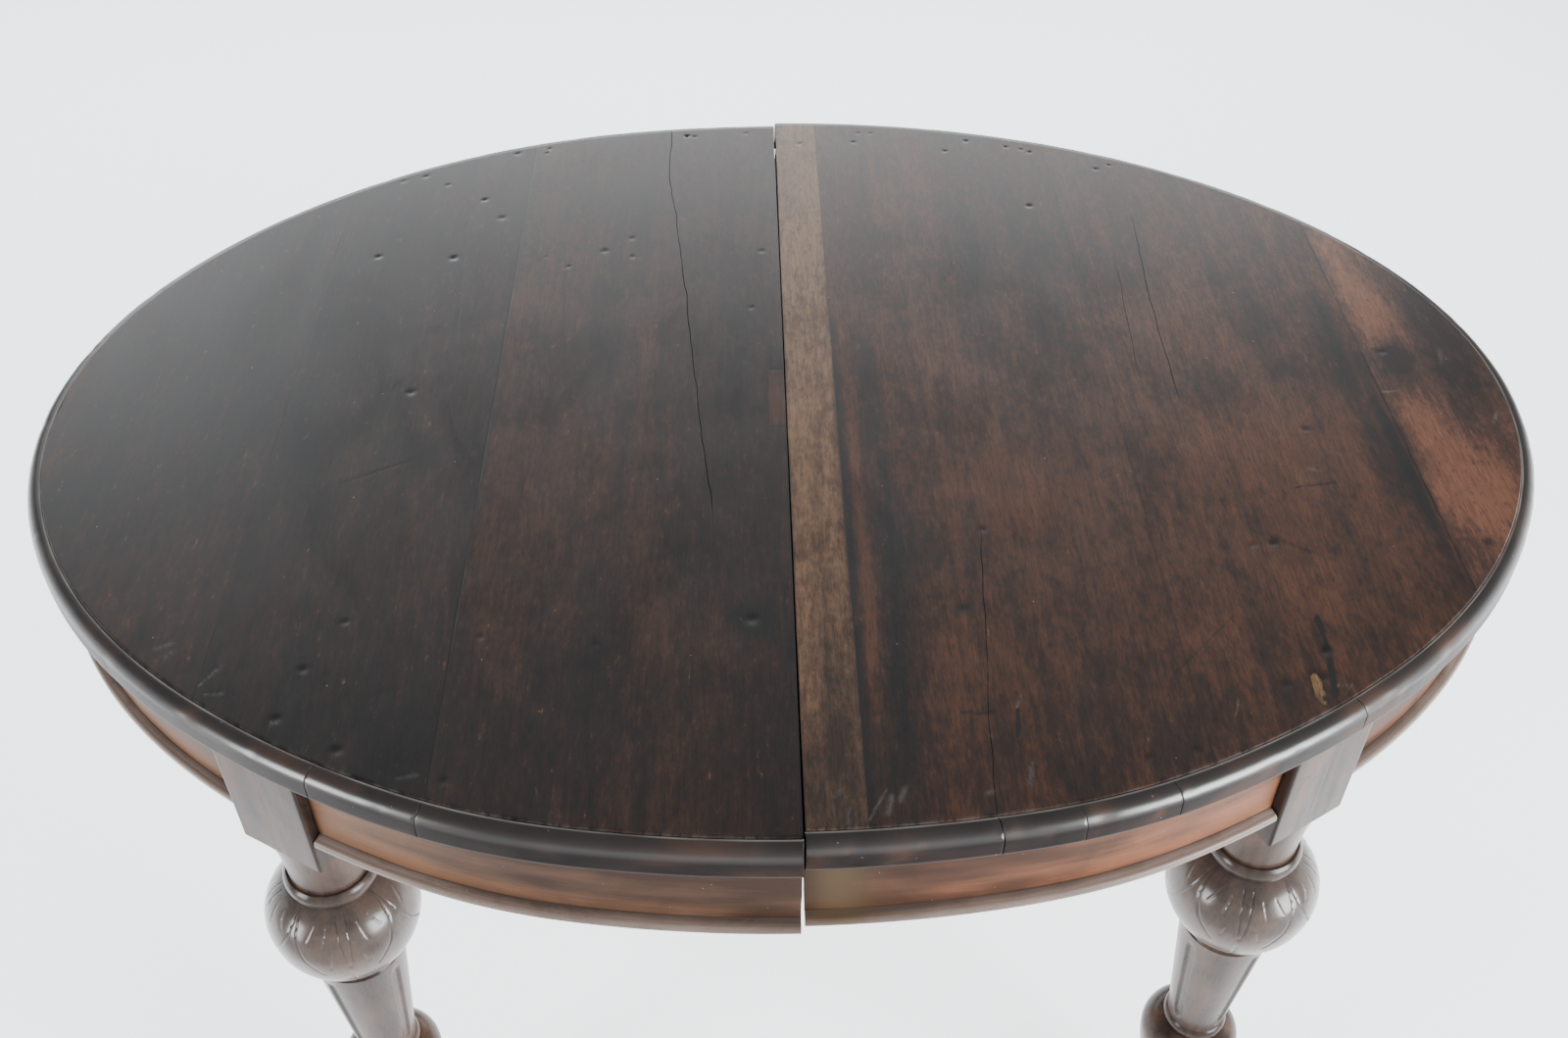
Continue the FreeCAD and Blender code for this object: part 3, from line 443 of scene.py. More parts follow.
@dataclass(frozen=True)
class BareFinish:
    """Bare planed wood with its grain along X, rubbed and greyed with age."""

    name: str
    deep: Colour = (0.11, 0.065, 0.036)
    body: Colour = (0.27, 0.175, 0.10)
    warm: Colour = (0.40, 0.28, 0.17)
    roughness: float = 0.62

    def material(self) -> bpy.types.Material:
        """Build the material.

        Returns:
            The finished material.
        """
        s = Shader(self.name)
        streak = s.grain((2.4, 46, 46), 5, 0.62, 0.5)
        fibre = s.grain((14, 480, 480), 3, 0.6)
        grime = s.grain((6, 8, 8), 5, 0.6, 0.6)
        figure = (streak - 0.5) * 1.5 + (grime - 0.5) * 1.2 + 0.5
        ground = s.wood(figure, (self.deep, self.body, self.warm))
        grained = s.shade(ground, (fibre - 0.5) * 0.6 + 1.0)
        rough = (grime - 0.5) * 0.2 + self.roughness
        return s.finish(Base_Color=grained, Roughness=rough, Normal=s.bump(fibre + streak, 0.2, 0.0005))


@dataclass(frozen=True)
class SteelFinish:
    """Dulled screw steel with rust in its pits."""

    name: str
    steel: Colour = (0.30, 0.28, 0.26)
    rust: Colour = (0.11, 0.045, 0.02)

    def material(self) -> bpy.types.Material:
        """Build the material.

        Returns:
            The finished material.
        """
        s = Shader(self.name)
        pits = s.step(s.grain((300, 300, 300), 5, 0.65), 0.45, 0.65)
        return s.finish(Base_Color=s.mix(pits, self.steel, self.rust), Metallic=1 - pits * 0.8,
                        Roughness=pits * 0.35 + 0.38)


# Mesh pieces


@dataclass
class Draft:
    """Points, faces and point values gathered for one mesh."""

    points: list[Array] = field(default_factory=list)
    faces: list[tuple[int, ...]] = field(default_factory=list)
    values: dict[str, list[Array]] = field(default_factory=dict)
    count: int = 0

    def add(self, points: Array, **values: Array) -> int:
        """Take in a set of points.

        Args:
            points: Coordinates, shape (..., 3).
            values: A number at each point, by attribute name.

        Returns:
            The index of the first point.
        """
        start = self.count
        flat = points.reshape(-1, 3)
        self.points.append(flat)
        self.count += len(flat)
        for name, value in values.items():
            self.values.setdefault(name, []).append(np.broadcast_to(value, points.shape[:-1]).reshape(-1))
        return start

    def sheet(self, points: Array, closed: bool = False, **values: Array) -> Array:
        """Take in a grid of points and join it with four-sided faces, counter-clockwise from row to column.

        Args:
            points: Coordinates, shape (rows, columns, 3).
            closed: Whether the last column joins the first.
            values: A number at each point, by attribute name.

        Returns:
            The points' indices, shape (rows, columns).
        """
        rows, columns = points.shape[:2]
        index = self.add(points, **values) + np.arange(rows * columns).reshape(rows, columns)
        ring = np.hstack([index, index[:, :1]]) if closed else index
        corners = np.stack([ring[:-1, :-1], ring[:-1, 1:], ring[1:, 1:], ring[1:, :-1]], axis=-1)
        self.faces.extend(map(tuple, corners.reshape(-1, 4).tolist()))
        return index

    def tube(self, points: Array, **values: Array) -> None:
        """Take in a grid whose last column joins its first, with a face over each end."""
        index = self.sheet(points, True, **values)
        self.faces.extend(tuple(row.tolist()) for row in index[[0, -1]])

    def strip(self, first: Array, second: Array) -> None:
        """Join two rows of points with four-sided faces."""
        corners = np.stack([first[:-1], first[1:], second[1:], second[:-1]], axis=-1)
        self.faces.extend(map(tuple, corners.tolist()))

    def piece(self, name: str, smooth_deg: float = 40.0) -> bpy.types.Object:
        """Make the mesh object: points that lie together merge, and edges sharper than an angle stay crisp.

        Args:
            name: The piece's name.
            smooth_deg: The least angle between faces that shows as an edge.

        Returns:
            The object, at the origin.
        """
        mesh = bpy.data.meshes.new(name)
        mesh.from_pydata(np.vstack(self.points), [], self.faces)
        for label, parts in self.values.items():
            layer = mesh.attributes.new(label, "FLOAT", "POINT")
            layer.data.foreach_set("value", np.concatenate(parts).astype(np.float32))
        work = bmesh.new()
        work.from_mesh(mesh)
        bmesh.ops.remove_doubles(work, verts=work.verts, dist=2e-6)
        bmesh.ops.recalc_face_normals(work, faces=work.faces)
        work.to_mesh(mesh)
        work.free()
        mesh.shade_smooth()
        mesh.set_sharp_from_angle(angle=math.radians(smooth_deg))
        thing = bpy.data.objects.new(name, mesh)
        bpy.context.scene.collection.objects.link(thing)
        return thing


def dress(thing: bpy.types.Object, material: bpy.types.Material) -> None:
    """Give every material slot of an object one material.

    Args:
        thing: The object.
        material: The material.
    """
    if not thing.material_slots:
        thing.data.materials.append(material)
    for slot in thing.material_slots:
        slot.material = material


def stand_in(thing: bpy.types.Object, node: str, body: str, slot: str, material: bpy.types.Material) -> None:
    """Let a new piece stand for a CAD node: same body, its record slot and its finish.

    Args:
        thing: The new piece.
        node: The node that it stands for.
        body: The body that it rides on.
        slot: The record's material slot.
        material: Its finish.
    """
    dress(thing, material)
    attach(thing, body)
    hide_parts(node)
    log.info("%s stands for %s: %d faces", thing.name, node, len(thing.data.polygons))


def ripple(x: Array, y: Array, seed: int, wavelength: float, waves: int = 7) -> Array:
    """A smooth random relief from -1 to 1: a mean of sine waves with random headings and phases.

    Args:
        x: First coordinates.
        y: Second coordinates.
        seed: Seed of the headings and phases.
        wavelength: Middle wavelength, in the coordinates' unit.
        waves: How many waves.

    Returns:
        The relief at each point.
    """
    draw = np.random.default_rng(seed)
    total = np.zeros(np.broadcast(x, y).shape)
    for heading, phase, pitch in zip(draw.uniform(0, math.tau, waves), draw.uniform(0, math.tau, waves),
                                     draw.uniform(0.6, 1.7, waves)):
        travel = (x * math.cos(heading) + y * math.sin(heading)) * math.tau / (wavelength * pitch)
        total = total + np.sin(travel + phase)
    return total / waves


def part(value: Array, reach: Array | float) -> Array:
    """How much of a reach a value fills, from 0 to 1."""
    return np.clip(value / reach, 0, 1)


@dataclass(frozen=True)
class OvalPlan:
    """The table's outline: an ellipse cut at the seam, each half moved a little along the seam.

    The hand-cut edge is fuller than the ellipse: a bell is its middle along X, its reach and its gain, and a
    flat is a gain that ends at the legs.
    """

    half_length: float
    half_width: float
    step: float
    leg_reach: float = 0.45
    front_bell: tuple[float, float, float] = (0.25, 0.11, 4 * MM)
    front_flat: float = 2.2 * MM
    back_bell: tuple[float, float, float] = (-0.34, 0.22, 7 * MM)
    back_flat: float = 1.5 * MM

    @property
    def mean_radius(self) -> float:
        """The mean of half length and half width, which turns an angle into a length."""
        return (self.half_length + self.half_width) / 2

    def middle(self, half: Half) -> float:
        """Where a half's ellipse has its middle along Y."""
        return self.step / 2 * half.value

    def radii(self, inset: Array | float) -> tuple[Array | float, Array | float]:
        """Half length and half width of the outline drawn in by an inset."""
        return self.half_length - inset, self.half_width - inset

    def chord(self, x: Array, inset: float) -> Array:
        """Half the width of the outline at a place along X."""
        long, wide = self.radii(inset)
        return wide * np.sqrt(np.clip(1 - (x / long) ** 2, 0, 1))

    def angle_at(self, way: tuple[float, float], offset: Array | float, inset: Array, half: Half,
                 guess: float) -> Array:
        """The ellipse's own angle where the outline meets an upright plane.

        With the point (A cos t, B sin t + middle), the plane way . point = offset gives
        t = atan2(q, p) -+ acos(c / hypot(p, q)), where p and q are the way's parts times the radii.

        Args:
            way: The plane's normal, in plan.
            offset: The plane's distance from the origin along its normal.
            inset: Inset of each point of a section.
            half: The half that the outline belongs to.
            guess: An angle near the answer, in radians.

        Returns:
            The angle for each inset.
        """
        long, wide = self.radii(inset)
        p, q = long * way[0], wide * way[1]
        lean = np.arccos(np.clip((offset - self.middle(half) * way[1]) / np.hypot(p, q), -1, 1))
        around = np.arctan2(q, p) - guess + math.pi
        options = [guess + (around + sign * lean) % math.tau - math.pi for sign in (-1, 1)]
        return np.where(np.abs(options[0] - guess) < np.abs(options[1] - guess), *options)

    def fuller(self, x: Array, y: Array, overhang: float = 1.0) -> Array:
        """Y moved outwards, since the hand-cut edge is fuller than an ellipse between the seam and the legs.

        In front the edge gains a bell on both sides over a low, flat rise that ends at the legs; the left
        half's back edge gains a longer bell. Points inside the edge gain the cube of their chord share.

        Args:
            x: X of each point.
            y: Y of each point, on the ellipse's own plan.
            overhang: Share of the back edge's gain, which the aprons don't follow.

        Returns:
            The new Y.
        """
        share = np.clip(np.abs(y) / np.maximum(self.chord(x, 0.0), 1 * MM), 0, 1) ** 3
        fade = np.clip(1 - (np.abs(x) / self.leg_reach) ** 6, 0, 1)
        middle, reach, gain = self.front_bell
        front = (self.front_flat + gain * np.exp(-((np.abs(x) - middle) / reach) ** 2)) * fade
        middle, reach, gain = self.back_bell
        back = overhang * gain * np.exp(-(np.abs(x - middle) / reach) ** 3) + self.back_flat * fade
        return y + share * np.where(y < 0, -front, back)

    def point(self, angle: Array, inset: Array, half: Half) -> tuple[Array, Array]:
        """A point of the outline at an angle of the ellipse, drawn in by an inset."""
        long, wide = self.radii(inset)
        return long * np.cos(angle), wide * np.sin(angle) + self.middle(half)


@dataclass(frozen=True)
class Crack:
    """A split along the grain: its way as (x, y) points, half its width and its depth."""

    way: tuple[tuple[float, float], ...]
    half_width: float = 0.55 * MM
    depth: float = 4 * MM
    wander: float = 1.6 * MM
    fade: float = 0.035
    seed: int = 1

    @property
    def mean_x(self) -> float:
        """The mean of its points along X."""
        return float(np.mean([p[0] for p in self.way]))

    def across(self, y: Array) -> Array:
        """X of the crack at places along Y: straight runs between its points, with a small wander."""
        xs, ys = np.array(sorted(self.way, key=lambda p: p[1])).T
        return np.interp(y, ys, xs) + self.wander * ripple(y, 0 * y, self.seed, 0.05)

    def openness(self, y: Array) -> Array:
        """How far the crack stands open along Y.

        Args:
            y: Places along Y.

        Returns:
            The openness, from 0 past its ends to about 1.
        """
        ys = [p[1] for p in self.way]
        ends = np.clip((y - min(ys)) / self.fade + 0.5, 0, 1) * np.clip((max(ys) - y) / self.fade + 0.5, 0, 1)
        return ends * (0.72 + 0.28 * ripple(y, 0 * y, self.seed + 50, 0.11))


@dataclass(frozen=True)
class Dent:
    """A shallow bowl or bruise in a surface, with the darkening round it."""

    x: float
    y: float
    radius: float
    depth: float
    stain: float = -0.7
    stretch: float = 1.0

    def bowl(self, x: Array, y: Array) -> Array:
        """Its shape from 1 in the middle to 0 outside: a bell of the distance over the radius."""
        far = ((x - self.x) / self.radius) ** 2 + ((y - self.y) / (self.radius * self.stretch)) ** 2
        return np.exp(-far)


@dataclass(frozen=True)
class Patch:
    """A soft area of lighter or darker polish."""

    x: float
    y: float
    reach_x: float
    reach_y: float
    stain: float
    edge: float = 2.0

    def weight(self, x: Array, y: Array) -> Array:
        """A bell of the distance over the reaches, with steeper flanks for a higher edge power."""
        far_x, far_y = np.abs((x - self.x) / self.reach_x), np.abs((y - self.y) / self.reach_y)
        return np.exp(-(far_x ** self.edge + far_y ** self.edge))


@dataclass(frozen=True)
class Stroke:
    """A scratch or smear from one point to another: pale if its shade is above 0, dark if below."""

    start: tuple[float, float]
    end: tuple[float, float]
    half_width: float
    shade: float

    def weight(self, x: Array, y: Array) -> Array:
        """How strong the stroke is: 1 on its line, falling to 0 at its half width and past its ends.

        Args:
            x: X of each point.
            y: Y of each point.

        Returns:
            The strength at each point.
        """
        (x0, y0), (x1, y1) = self.start, self.end
        run, rise = x1 - x0, y1 - y0
        share = np.clip(((x - x0) * run + (y - y0) * rise) / (run * run + rise * rise), 0, 1)
        far = np.hypot(x - x0 - share * run, y - y0 - share * rise)
        return np.clip(1.3 - 1.3 * far / self.half_width, 0, 1)


@dataclass(frozen=True)
class Board:
    """One board of the top: its node, its two long edges along X, its finish and how dark its joints are."""

    name: str
    half: Half
    low: float
    high: float
    slot: str
    finish: BoardFinish
    marks: tuple[float, float] = (0.5, 0.5)
    cracks: tuple[Crack, ...] = ()

    @property
    def node(self) -> str:
        """The node that this board stands for."""
        return self.half.node(self.name)


@dataclass
class TableTop:
    """The boarded field of both halves, with its cracks, joints, bruises and worn edges."""

    plan: OvalPlan
    under: float
    top: float
    inset: float
    seam: float
    boards: Sequence[Board]
    dents: Sequence[Dent]
    patches: Sequence[Patch]
    strokes: Sequence[Stroke]
    chip: Dent
    column_step: float = 2.1 * MM
    row_step: float = 2.4 * MM
    edge_offsets: tuple[float, ...] = (0.0, 0.25 * MM, 0.6 * MM, 1.2 * MM, 2.2 * MM)
    crack_shares: tuple[float, ...] = (0.0, 0.55, 1.0)
    crack_ease: float = 0.35 * MM
    crack_least: float = 0.02 * MM
    joint_wear: float = 0.2 * MM
    rim_wear: float = 0.6 * MM
    cup: float = 0.35 * MM
    joint_reach: float = 1.4 * MM
    rim_reach: float = 1.8 * MM
    cup_reach: float = 20 * MM
    stroke_depth: float = 0.15 * MM
    joint_dark: float = 1.2 * MM
    scuff: float = 0.25
    scuff_reach: float = 2.5 * MM
    seam_middle: float = -0.05
    seam_reach: float = 0.5
    seam_close: float = 0.55 * MM
    back_start: float = 0.40
    back_reach: float = 0.06
    peg_radius: float = 6.4 * MM
    peg_depth: float = 31 * MM
    peg_spacing: float = 0.3
    peg_sides: int = 32

    def at_seam(self, x: Array | float) -> Array:
        """Whether a place along X is at the seam."""
        return np.abs(x) < 2 * self.seam

    def rows(self, board: Board) -> Array:
        """Shares of the half chord along a board, closer together at both ends.

        Args:
            board: The board.

        Returns:
            The shares, from -1 to 1.
        """
        longest = float(self.plan.chord(np.array(min(abs(board.low), abs(board.high))), self.inset))
        near = np.array(self.edge_offsets) / longest
        inner = np.linspace(-1 + near[-1], 1 - near[-1], int(2 * longest / self.row_step))
        return np.concatenate([-1 + near[:-1], inner, 1 - near[:-1][::-1]])

    def seam_edge(self, y: Array) -> Array:
        """How far the worn seam edges stand from the middle of the seam: closest about halfway along it."""
        share = part(np.abs(y - self.seam_middle), self.seam_reach)
        return (self.seam_close + (0.75 * self.seam - self.seam_close) * share ** 3
                + 0.1 * MM * ripple(y, 0 * y, Seed.SEAM_EDGE, 0.16))

    def seam_foot(self, x: Array, y: Array) -> Array:
        """X of the lower edge under each point: seam edges lean in and nearly meet, but not at the back."""
        apart = SEAM_TOUCH + 0.8 * self.seam * part(y - self.back_start, self.back_reach)
        return np.where(self.at_seam(x), np.sign(x) * apart, x)

    def columns(self, board: Board, v: Array) -> tuple[Array, Array, Array]:
        """Lay out a board's columns, which run along its edges and its cracks.

        Between two lines (edges or cracks) the columns are spread evenly, with a few close beside each line.
        Next to the table's tip they follow the sine of an even angle, so that the outline stays round.

        Args:
            board: The board.
            v: Shares of the half chord, one for each row.

        Returns:
            X of each point, then for each point the depth of a crack there and the crack's darkness.
        """
        reach = self.plan.radii(self.inset)[0]
        middle = self.plan.middle(board.half)

        def along(x: float) -> Array:
            """Y of each row at a place along X."""
            return middle + v * float(self.plan.chord(np.array(abs(x)), self.inset))

        def beside(line: tuple[Array, Any], sign: int, skip: int) -> list[tuple[Array, Any, Any]]:
            """Columns beside a line on one side, from it outwards.

            Args:
                line: X of the line at each row, then its crack and the crack's openness, or None.
                sign: The side, 1 or -1.
                skip: How many of the closest columns to leave out.

            Returns:
                X, crack depth and darkness of each column.
            """
            at, crack = line
            if crack is None:
                return [(at + sign * offset, 0.0, 0.0) for offset in self.edge_offsets[skip:]]
            cut, open_ = crack
            wide = np.maximum(cut.half_width * open_, self.crack_least)
            near = [(at + sign * share * wide, cut.depth * open_ * (1 - share ** 2), open_)
                    for share in self.crack_shares[skip:]]
            return near + [(at + sign * (wide + self.crack_ease), 0.0, 0.0)]

        edges = [board.half.value * self.seam_edge(along(x)) if self.at_seam(x) else np.full_like(v, x)
                 for x in (board.low, board.high)]
        lines = [(edges[0], None)]
        for crack in sorted(board.cracks, key=lambda c: c.mean_x):
            y = along(crack.mean_x)
            lines.append((crack.across(y), (crack, crack.openness(y))))
        lines.append((edges[1], None))
        at_tip = max(abs(board.low), abs(board.high)) > reach - 2 * MM
        laid = []
        for here, there in zip(lines[:-1], lines[1:]):
            left = beside(here, 1, 0 if here is lines[0] else 1)
            right = beside(there, -1, 0)[::-1]
            start, end = left[-1][0], right[0][0]
            shares = np.linspace(0, 1, max(3, int(float(np.max(end - start)) / self.column_step)))[1:-1]
            if at_tip:
                first, last = (np.arcsin(np.clip(edge / reach, -1, 1)) for edge in (start, end))
                between = [reach * np.sin(first * (1 - share) + last * share) for share in shares]
            else:
                between = [start + (end - start) * share for share in shares]
            laid += left + [(x, 0.0, 0.0) for x in between] + right
        x, depth, dark = (np.stack([np.broadcast_to(value, v.shape) for value in values], axis=1)
                          for values in zip(*laid))
        return np.clip(x, -reach, reach), depth, dark

    def build(self, board: Board) -> bpy.types.Object:
        """Make one board: a worn upper face over plain walls and a flat underside.

        The upper face is z = top - joint wear - rim wear - crack depth - bruises + cupping, on a grid of
        columns along the grain and rows across it, with y = middle + v * half chord(x).

        Args:
            board: The board.

        Returns:
            The piece.
        """
        v = self.rows(board)
        x, crack, dark = self.columns(board, v)
        gap = np.minimum(x - x[:, :1], x[:, -1:] - x)
        chord = self.plan.chord(x, self.inset)
        y = self.plan.fuller(x, self.plan.middle(board.half) + v[:, None] * chord)
        from_rim = (1 - np.abs(v))[:, None] * chord
        wear = 0.6 + 0.9 * ripple(y, 0 * y, int(1000 * abs(board.low)), 0.13)
        marks = np.where(x - x[:, :1] < x[:, -1:] - x, board.marks[0], board.marks[1])
        joint = np.clip(wear, 0.15, 1) * marks
        z = self.top - self.joint_wear * joint * (1 - part(gap, self.joint_reach)) ** 2
        z = z - self.rim_wear * (1 - part(from_rim, self.rim_reach)) ** 2 - crack
        z = z + self.cup * ripple(x, y * 0.35, Seed.BOARD_CUP, 0.16) * part(gap, self.cup_reach)
        stain = -dark - joint * np.clip(1.2 - gap / self.joint_dark, 0, 1)
        scuff = self.scuff * (1 - part(from_rim, self.scuff_reach))
        scuff = scuff * (1 + ripple(x, y, Seed.BOARD_SCUFF, 0.03))
        for dent in self.dents:
            bowl = dent.bowl(x, y)
            z = z - dent.depth * bowl
            stain = stain + dent.stain * bowl ** 0.6
        for patch in self.patches:
            stain = stain + patch.stain * patch.weight(x, y)
        for stroke in self.strokes:
            weight = stroke.weight(x, y)
            z = z - self.stroke_depth * weight
            stain = stain + min(stroke.shade, 0) * weight
            scuff = np.maximum(scuff, max(stroke.shade, 0) * weight)
        bowl = self.chip.bowl(x, y)
        z = z - self.chip.depth * bowl
        chip = np.clip(1.8 * bowl + 0.5 * ripple(x, y, Seed.CHIP_EDGE, 0.012) - 0.55, 0, 1)
        z = np.minimum(z, self.top)
        draft = Draft()
        index = draft.sheet(np.stack([x, y, z], axis=-1), stain=stain, chip=chip, scuff=scuff)
        border = [index[0, :], index[:, -1], index[-1, ::-1], index[::-1, 0]]
        flat = np.stack([self.seam_foot(x, y), y, np.full_like(x, self.under)], axis=-1)
        edges = [flat[0, :], flat[:, -1], flat[-1, ::-1], flat[::-1, 0]]
        blank = dict.fromkeys(("stain", "chip", "scuff"), 0.0)
        feet = [draft.add(edge, **blank) + np.arange(len(edge)) for edge in edges]
        for upper, lower in zip(border, feet):
            draft.strip(lower, upper)
        front, right, back, left = feet
        left = left[::-1]
        draft.strip(right[1:-1], left[1:-1])
        draft.faces.append(tuple(front.tolist()) + (int(right[1]), int(left[1])))
        draft.faces.append(tuple(back.tolist()) + (int(left[-2]), int(right[-2])))
        return draft.piece(f"{board.node}_worn", 35)

    def drill(self, thing: bpy.types.Object, half: Half) -> None:
        """Cut the seam pegs' holes into a board's seam edge.

        Args:
            thing: The board.
            half: The board's half.
        """
        turn = np.arange(self.peg_sides) * math.tau / self.peg_sides
        level = (self.top + self.under) / 2
        draft = Draft()
        for step in (-1, 0, 1):
            ring = np.stack([0 * turn, step * self.peg_spacing + self.peg_radius * np.cos(turn),
                             level + self.peg_radius * np.sin(turn)], axis=-1)
            ends = [ring - (0.01 * half.value, 0, 0), ring + (self.peg_depth * half.value, 0, 0)]
            draft.tube(np.stack(ends))
        cutter = draft.piece("peg_holes")
        cut = thing.modifiers.new("peg_holes", "BOOLEAN")
        cut.operation = "DIFFERENCE"
        cut.solver = "EXACT"
        cut.object = cutter
        cut_mesh = bpy.data.meshes.new_from_object(thing.evaluated_get(bpy.context.evaluated_depsgraph_get()))
        thing.modifiers.remove(cut)
        bpy.data.objects.remove(cutter)
        thing.data = cut_mesh

    def place(self) -> None:
        """Build every board and let it stand for its node."""
        for board in self.boards:
            thing = self.build(board)
            if board.half is Half.RIGHT and self.at_seam(board.low):
                self.drill(thing, board.half)
            stand_in(thing, board.node, board.half.body, board.slot, board.finish.material())


@dataclass(frozen=True)
class RimLength:
    """One length of rim: its node and the plan angles, in degrees, where it starts and ends."""

    name: str
    half: Half
    start: float
    end: float


@dataclass
class Rim:
    """The moulded rim: a rolled section carried round the oval, bruised, cracked across and worn."""

    plan: OvalPlan
    under: float
    top: float
    width: float
    seam: float
    finish: MouldingFinish
    cracks: Sequence[tuple[float, float]]
    dents: Sequence[tuple[float, float, float, float]]
    joint_angle: float = 63.0
    round_top: float = 12.4 * MM
    round_under: float = 7 * MM
    step: float = 3.2 * MM
    crack_half: float = 0.4 * MM
    wrap_radius: float = 0.61
    gloss_drop: float = 7 * MM
    gloss_rise: float = 6 * MM
    gloss_fall: float = 3.4 * MM
    gloss_least: float = 0.45
    veil: float = 0.05

    def section(self) -> tuple[Array, Array, Array]:
        """The closed section: foot, lower round, nose, upper round, top and quirk wall.

        Returns:
            Inset from the outline, height, and pale dust in the quirk, at each point of the section.
        """
        under = np.linspace(0, math.pi / 2, 8)
        over = np.linspace(0, math.pi / 2, 16)
        insets = [np.linspace(self.width, self.round_under, 4)[:-1],
                  self.round_under * (1 - np.sin(under)),
                  self.round_top * (1 - np.cos(over)),
                  self.width - np.array([2.0, 1.2, 0.5, 0.0]) * MM]
        heights = [np.full(3, self.under),
                   self.under + self.round_under * (1 - np.cos(under)),
                   self.top - self.round_top + self.round_top * np.sin(over),
                   self.top - np.array([0.0, 0.0, 0.1, 0.7]) * MM]
        dust = [np.zeros(3 + len(under) + len(over)), np.array([0.45, 0.9, 1.0, 0.8])]
        return np.concatenate(insets), np.concatenate(heights), np.concatenate(dust)

    def lengths(self) -> list[RimLength]:
        """The lengths of both halves, butted at the joint angle and over the ends.

        Returns:
            The eight lengths.
        """
        joint = self.joint_angle
        return [
            RimLength("front_rim", Half.LEFT, 180 + joint, 270),
            RimLength("front_end_rim", Half.LEFT, 180, 180 + joint),
            RimLength("back_end_rim", Half.LEFT, 180 - joint, 180),
            RimLength("back_rim", Half.LEFT, 90, 180 - joint),
            RimLength("back_rim", Half.RIGHT, joint, 90),
            RimLength("back_end_rim", Half.RIGHT, 0, joint),
            RimLength("front_end_rim", Half.RIGHT, -joint, 0),
            RimLength("front_rim", Half.RIGHT, -90, -joint),
        ]

    def end_angle(self, plan_deg: float, inset: Array, height: Array, half: Half) -> Array:
        """The ellipse's own angle where a length ends: on a ray from the oval's middle, or at the seam.

        At the seam the ends stand apart on the show side and nearly meet at the foot.

        Args:
            plan_deg: Plan angle of the ray, in degrees; 90, 270 and -90 mean the seam.
            inset: Inset of each point of the section.
            height: Height of each point of the section.
            half: The half that the length belongs to.

        Returns:
            The angle for each point of the section, in radians.
        """
        turn = math.radians(plan_deg)
        if abs(math.cos(turn)) < 1e-6:
            shown = part(height - self.under, 8 * MM)
            shown = shown * np.clip((self.width - inset) / (6 * MM), 0.3, 1)
            apart = SEAM_TOUCH + 0.8 * self.seam * shown
            return self.plan.angle_at((1, 0), half.value * apart, inset, half, turn)
        way = (-math.sin(turn), math.cos(turn))
        return self.plan.angle_at(way, self.plan.middle(half) * way[1], inset, half, turn)

    def build(self, length: RimLength) -> bpy.types.Object:
        """Make one length: point = outline(angle, inset) at a height, less the bruises and cracks.

        Args:
            length: The length.

        Returns:
            The piece.
        """
        inset, height, dust = self.section()
        start, end = (self.end_angle(turn, inset, height, length.half) for turn in (length.start, length.end))
        mean = self.plan.mean_radius
        arc = abs(float(end[0] - start[0])) * mean
        shares = np.linspace(0, 1, int(arc / self.step))
        half_crack = self.crack_half / arc
        marks = []
        for plan_deg, depth in self.cracks:
            share = (plan_deg - length.start) / (length.end - length.start)
            if 0.01 < share < 0.99:
                marks.append((share, depth))
                shares = np.concatenate([shares, share + half_crack * np.array([-2, -1, -0.5, 0, 0.5, 1, 2])])
        shares = np.sort(shares)
        angle = start + shares[:, None] * (end - start)
        along = angle * mean
        level = height[None, :]
        drop = np.zeros_like(angle)
        worn = 0.25 * ripple(along, level * 3, Seed.RIM_WEAR, 0.09)
        patchy = 0.75 + 0.5 * ripple(along, 0 * along, Seed.RIM_DUST, 0.05)
        dusty = np.broadcast_to(dust, angle.shape) * patchy
        shown = part(height - self.under - 2 * MM, 6 * MM) * part(self.width - inset, 5 * MM)
        for share, depth in marks:
            lean = share + 0.35 * half_crack * np.sin(height * 900)
            groove = 1 - part(np.abs(shares[:, None] - lean[None, :]), half_crack)
            drop = drop + depth * groove * shown
            worn = worn - 0.9 * groove
        lap = math.tau * self.wrap_radius
        for plan_deg, dent_level, radius, depth in self.dents:
            gap = (along - math.radians(plan_deg) * mean + lap / 2) % lap - lap / 2
            bell = np.exp(-((gap / radius) ** 2 + ((level - dent_level) / (0.8 * radius)) ** 2))
            drop = drop + depth * bell * shown
            worn = worn + 0.3 * bell
        wobble = 0.25 * MM * ripple(along, level, Seed.RIM_WAVES, 0.12)
        wobble = wobble + 0.12 * MM * ripple(along, level, Seed.RIM_RIPPLES, 0.03)
        drop = np.maximum(drop + (wobble + 0.37 * MM) * shown, 0)
        x, y = self.plan.point(angle, inset + drop * 0.8, length.half)
        y = self.plan.fuller(x, y)
        z = level - drop * 0.6 * part(height - self.under - 12 * MM, 10 * MM)
        rise = height - self.top + self.gloss_drop
        above = np.maximum(np.exp(-(rise / self.gloss_rise) ** 2), self.gloss_least)
        gloss = np.where(rise > 0, above, np.exp(-(rise / self.gloss_fall) ** 2))
        dusty = np.maximum(dusty, self.veil * np.clip(rise / (4 * MM) + 0.5, 0, 1))
        draft = Draft()
        draft.tube(np.stack([x, y, z], axis=-1), worn=worn, dust=dusty, polish=gloss)
        return draft.piece(f"{length.half.node(length.name)}_worn", 50)

    def place(self) -> None:
        """Build every length and let it stand for its node."""
        material = self.finish.material()
        for length in self.lengths():
            node = length.half.node(length.name)
            stand_in(self.build(length), node, length.half.body, "rim_wood", material)


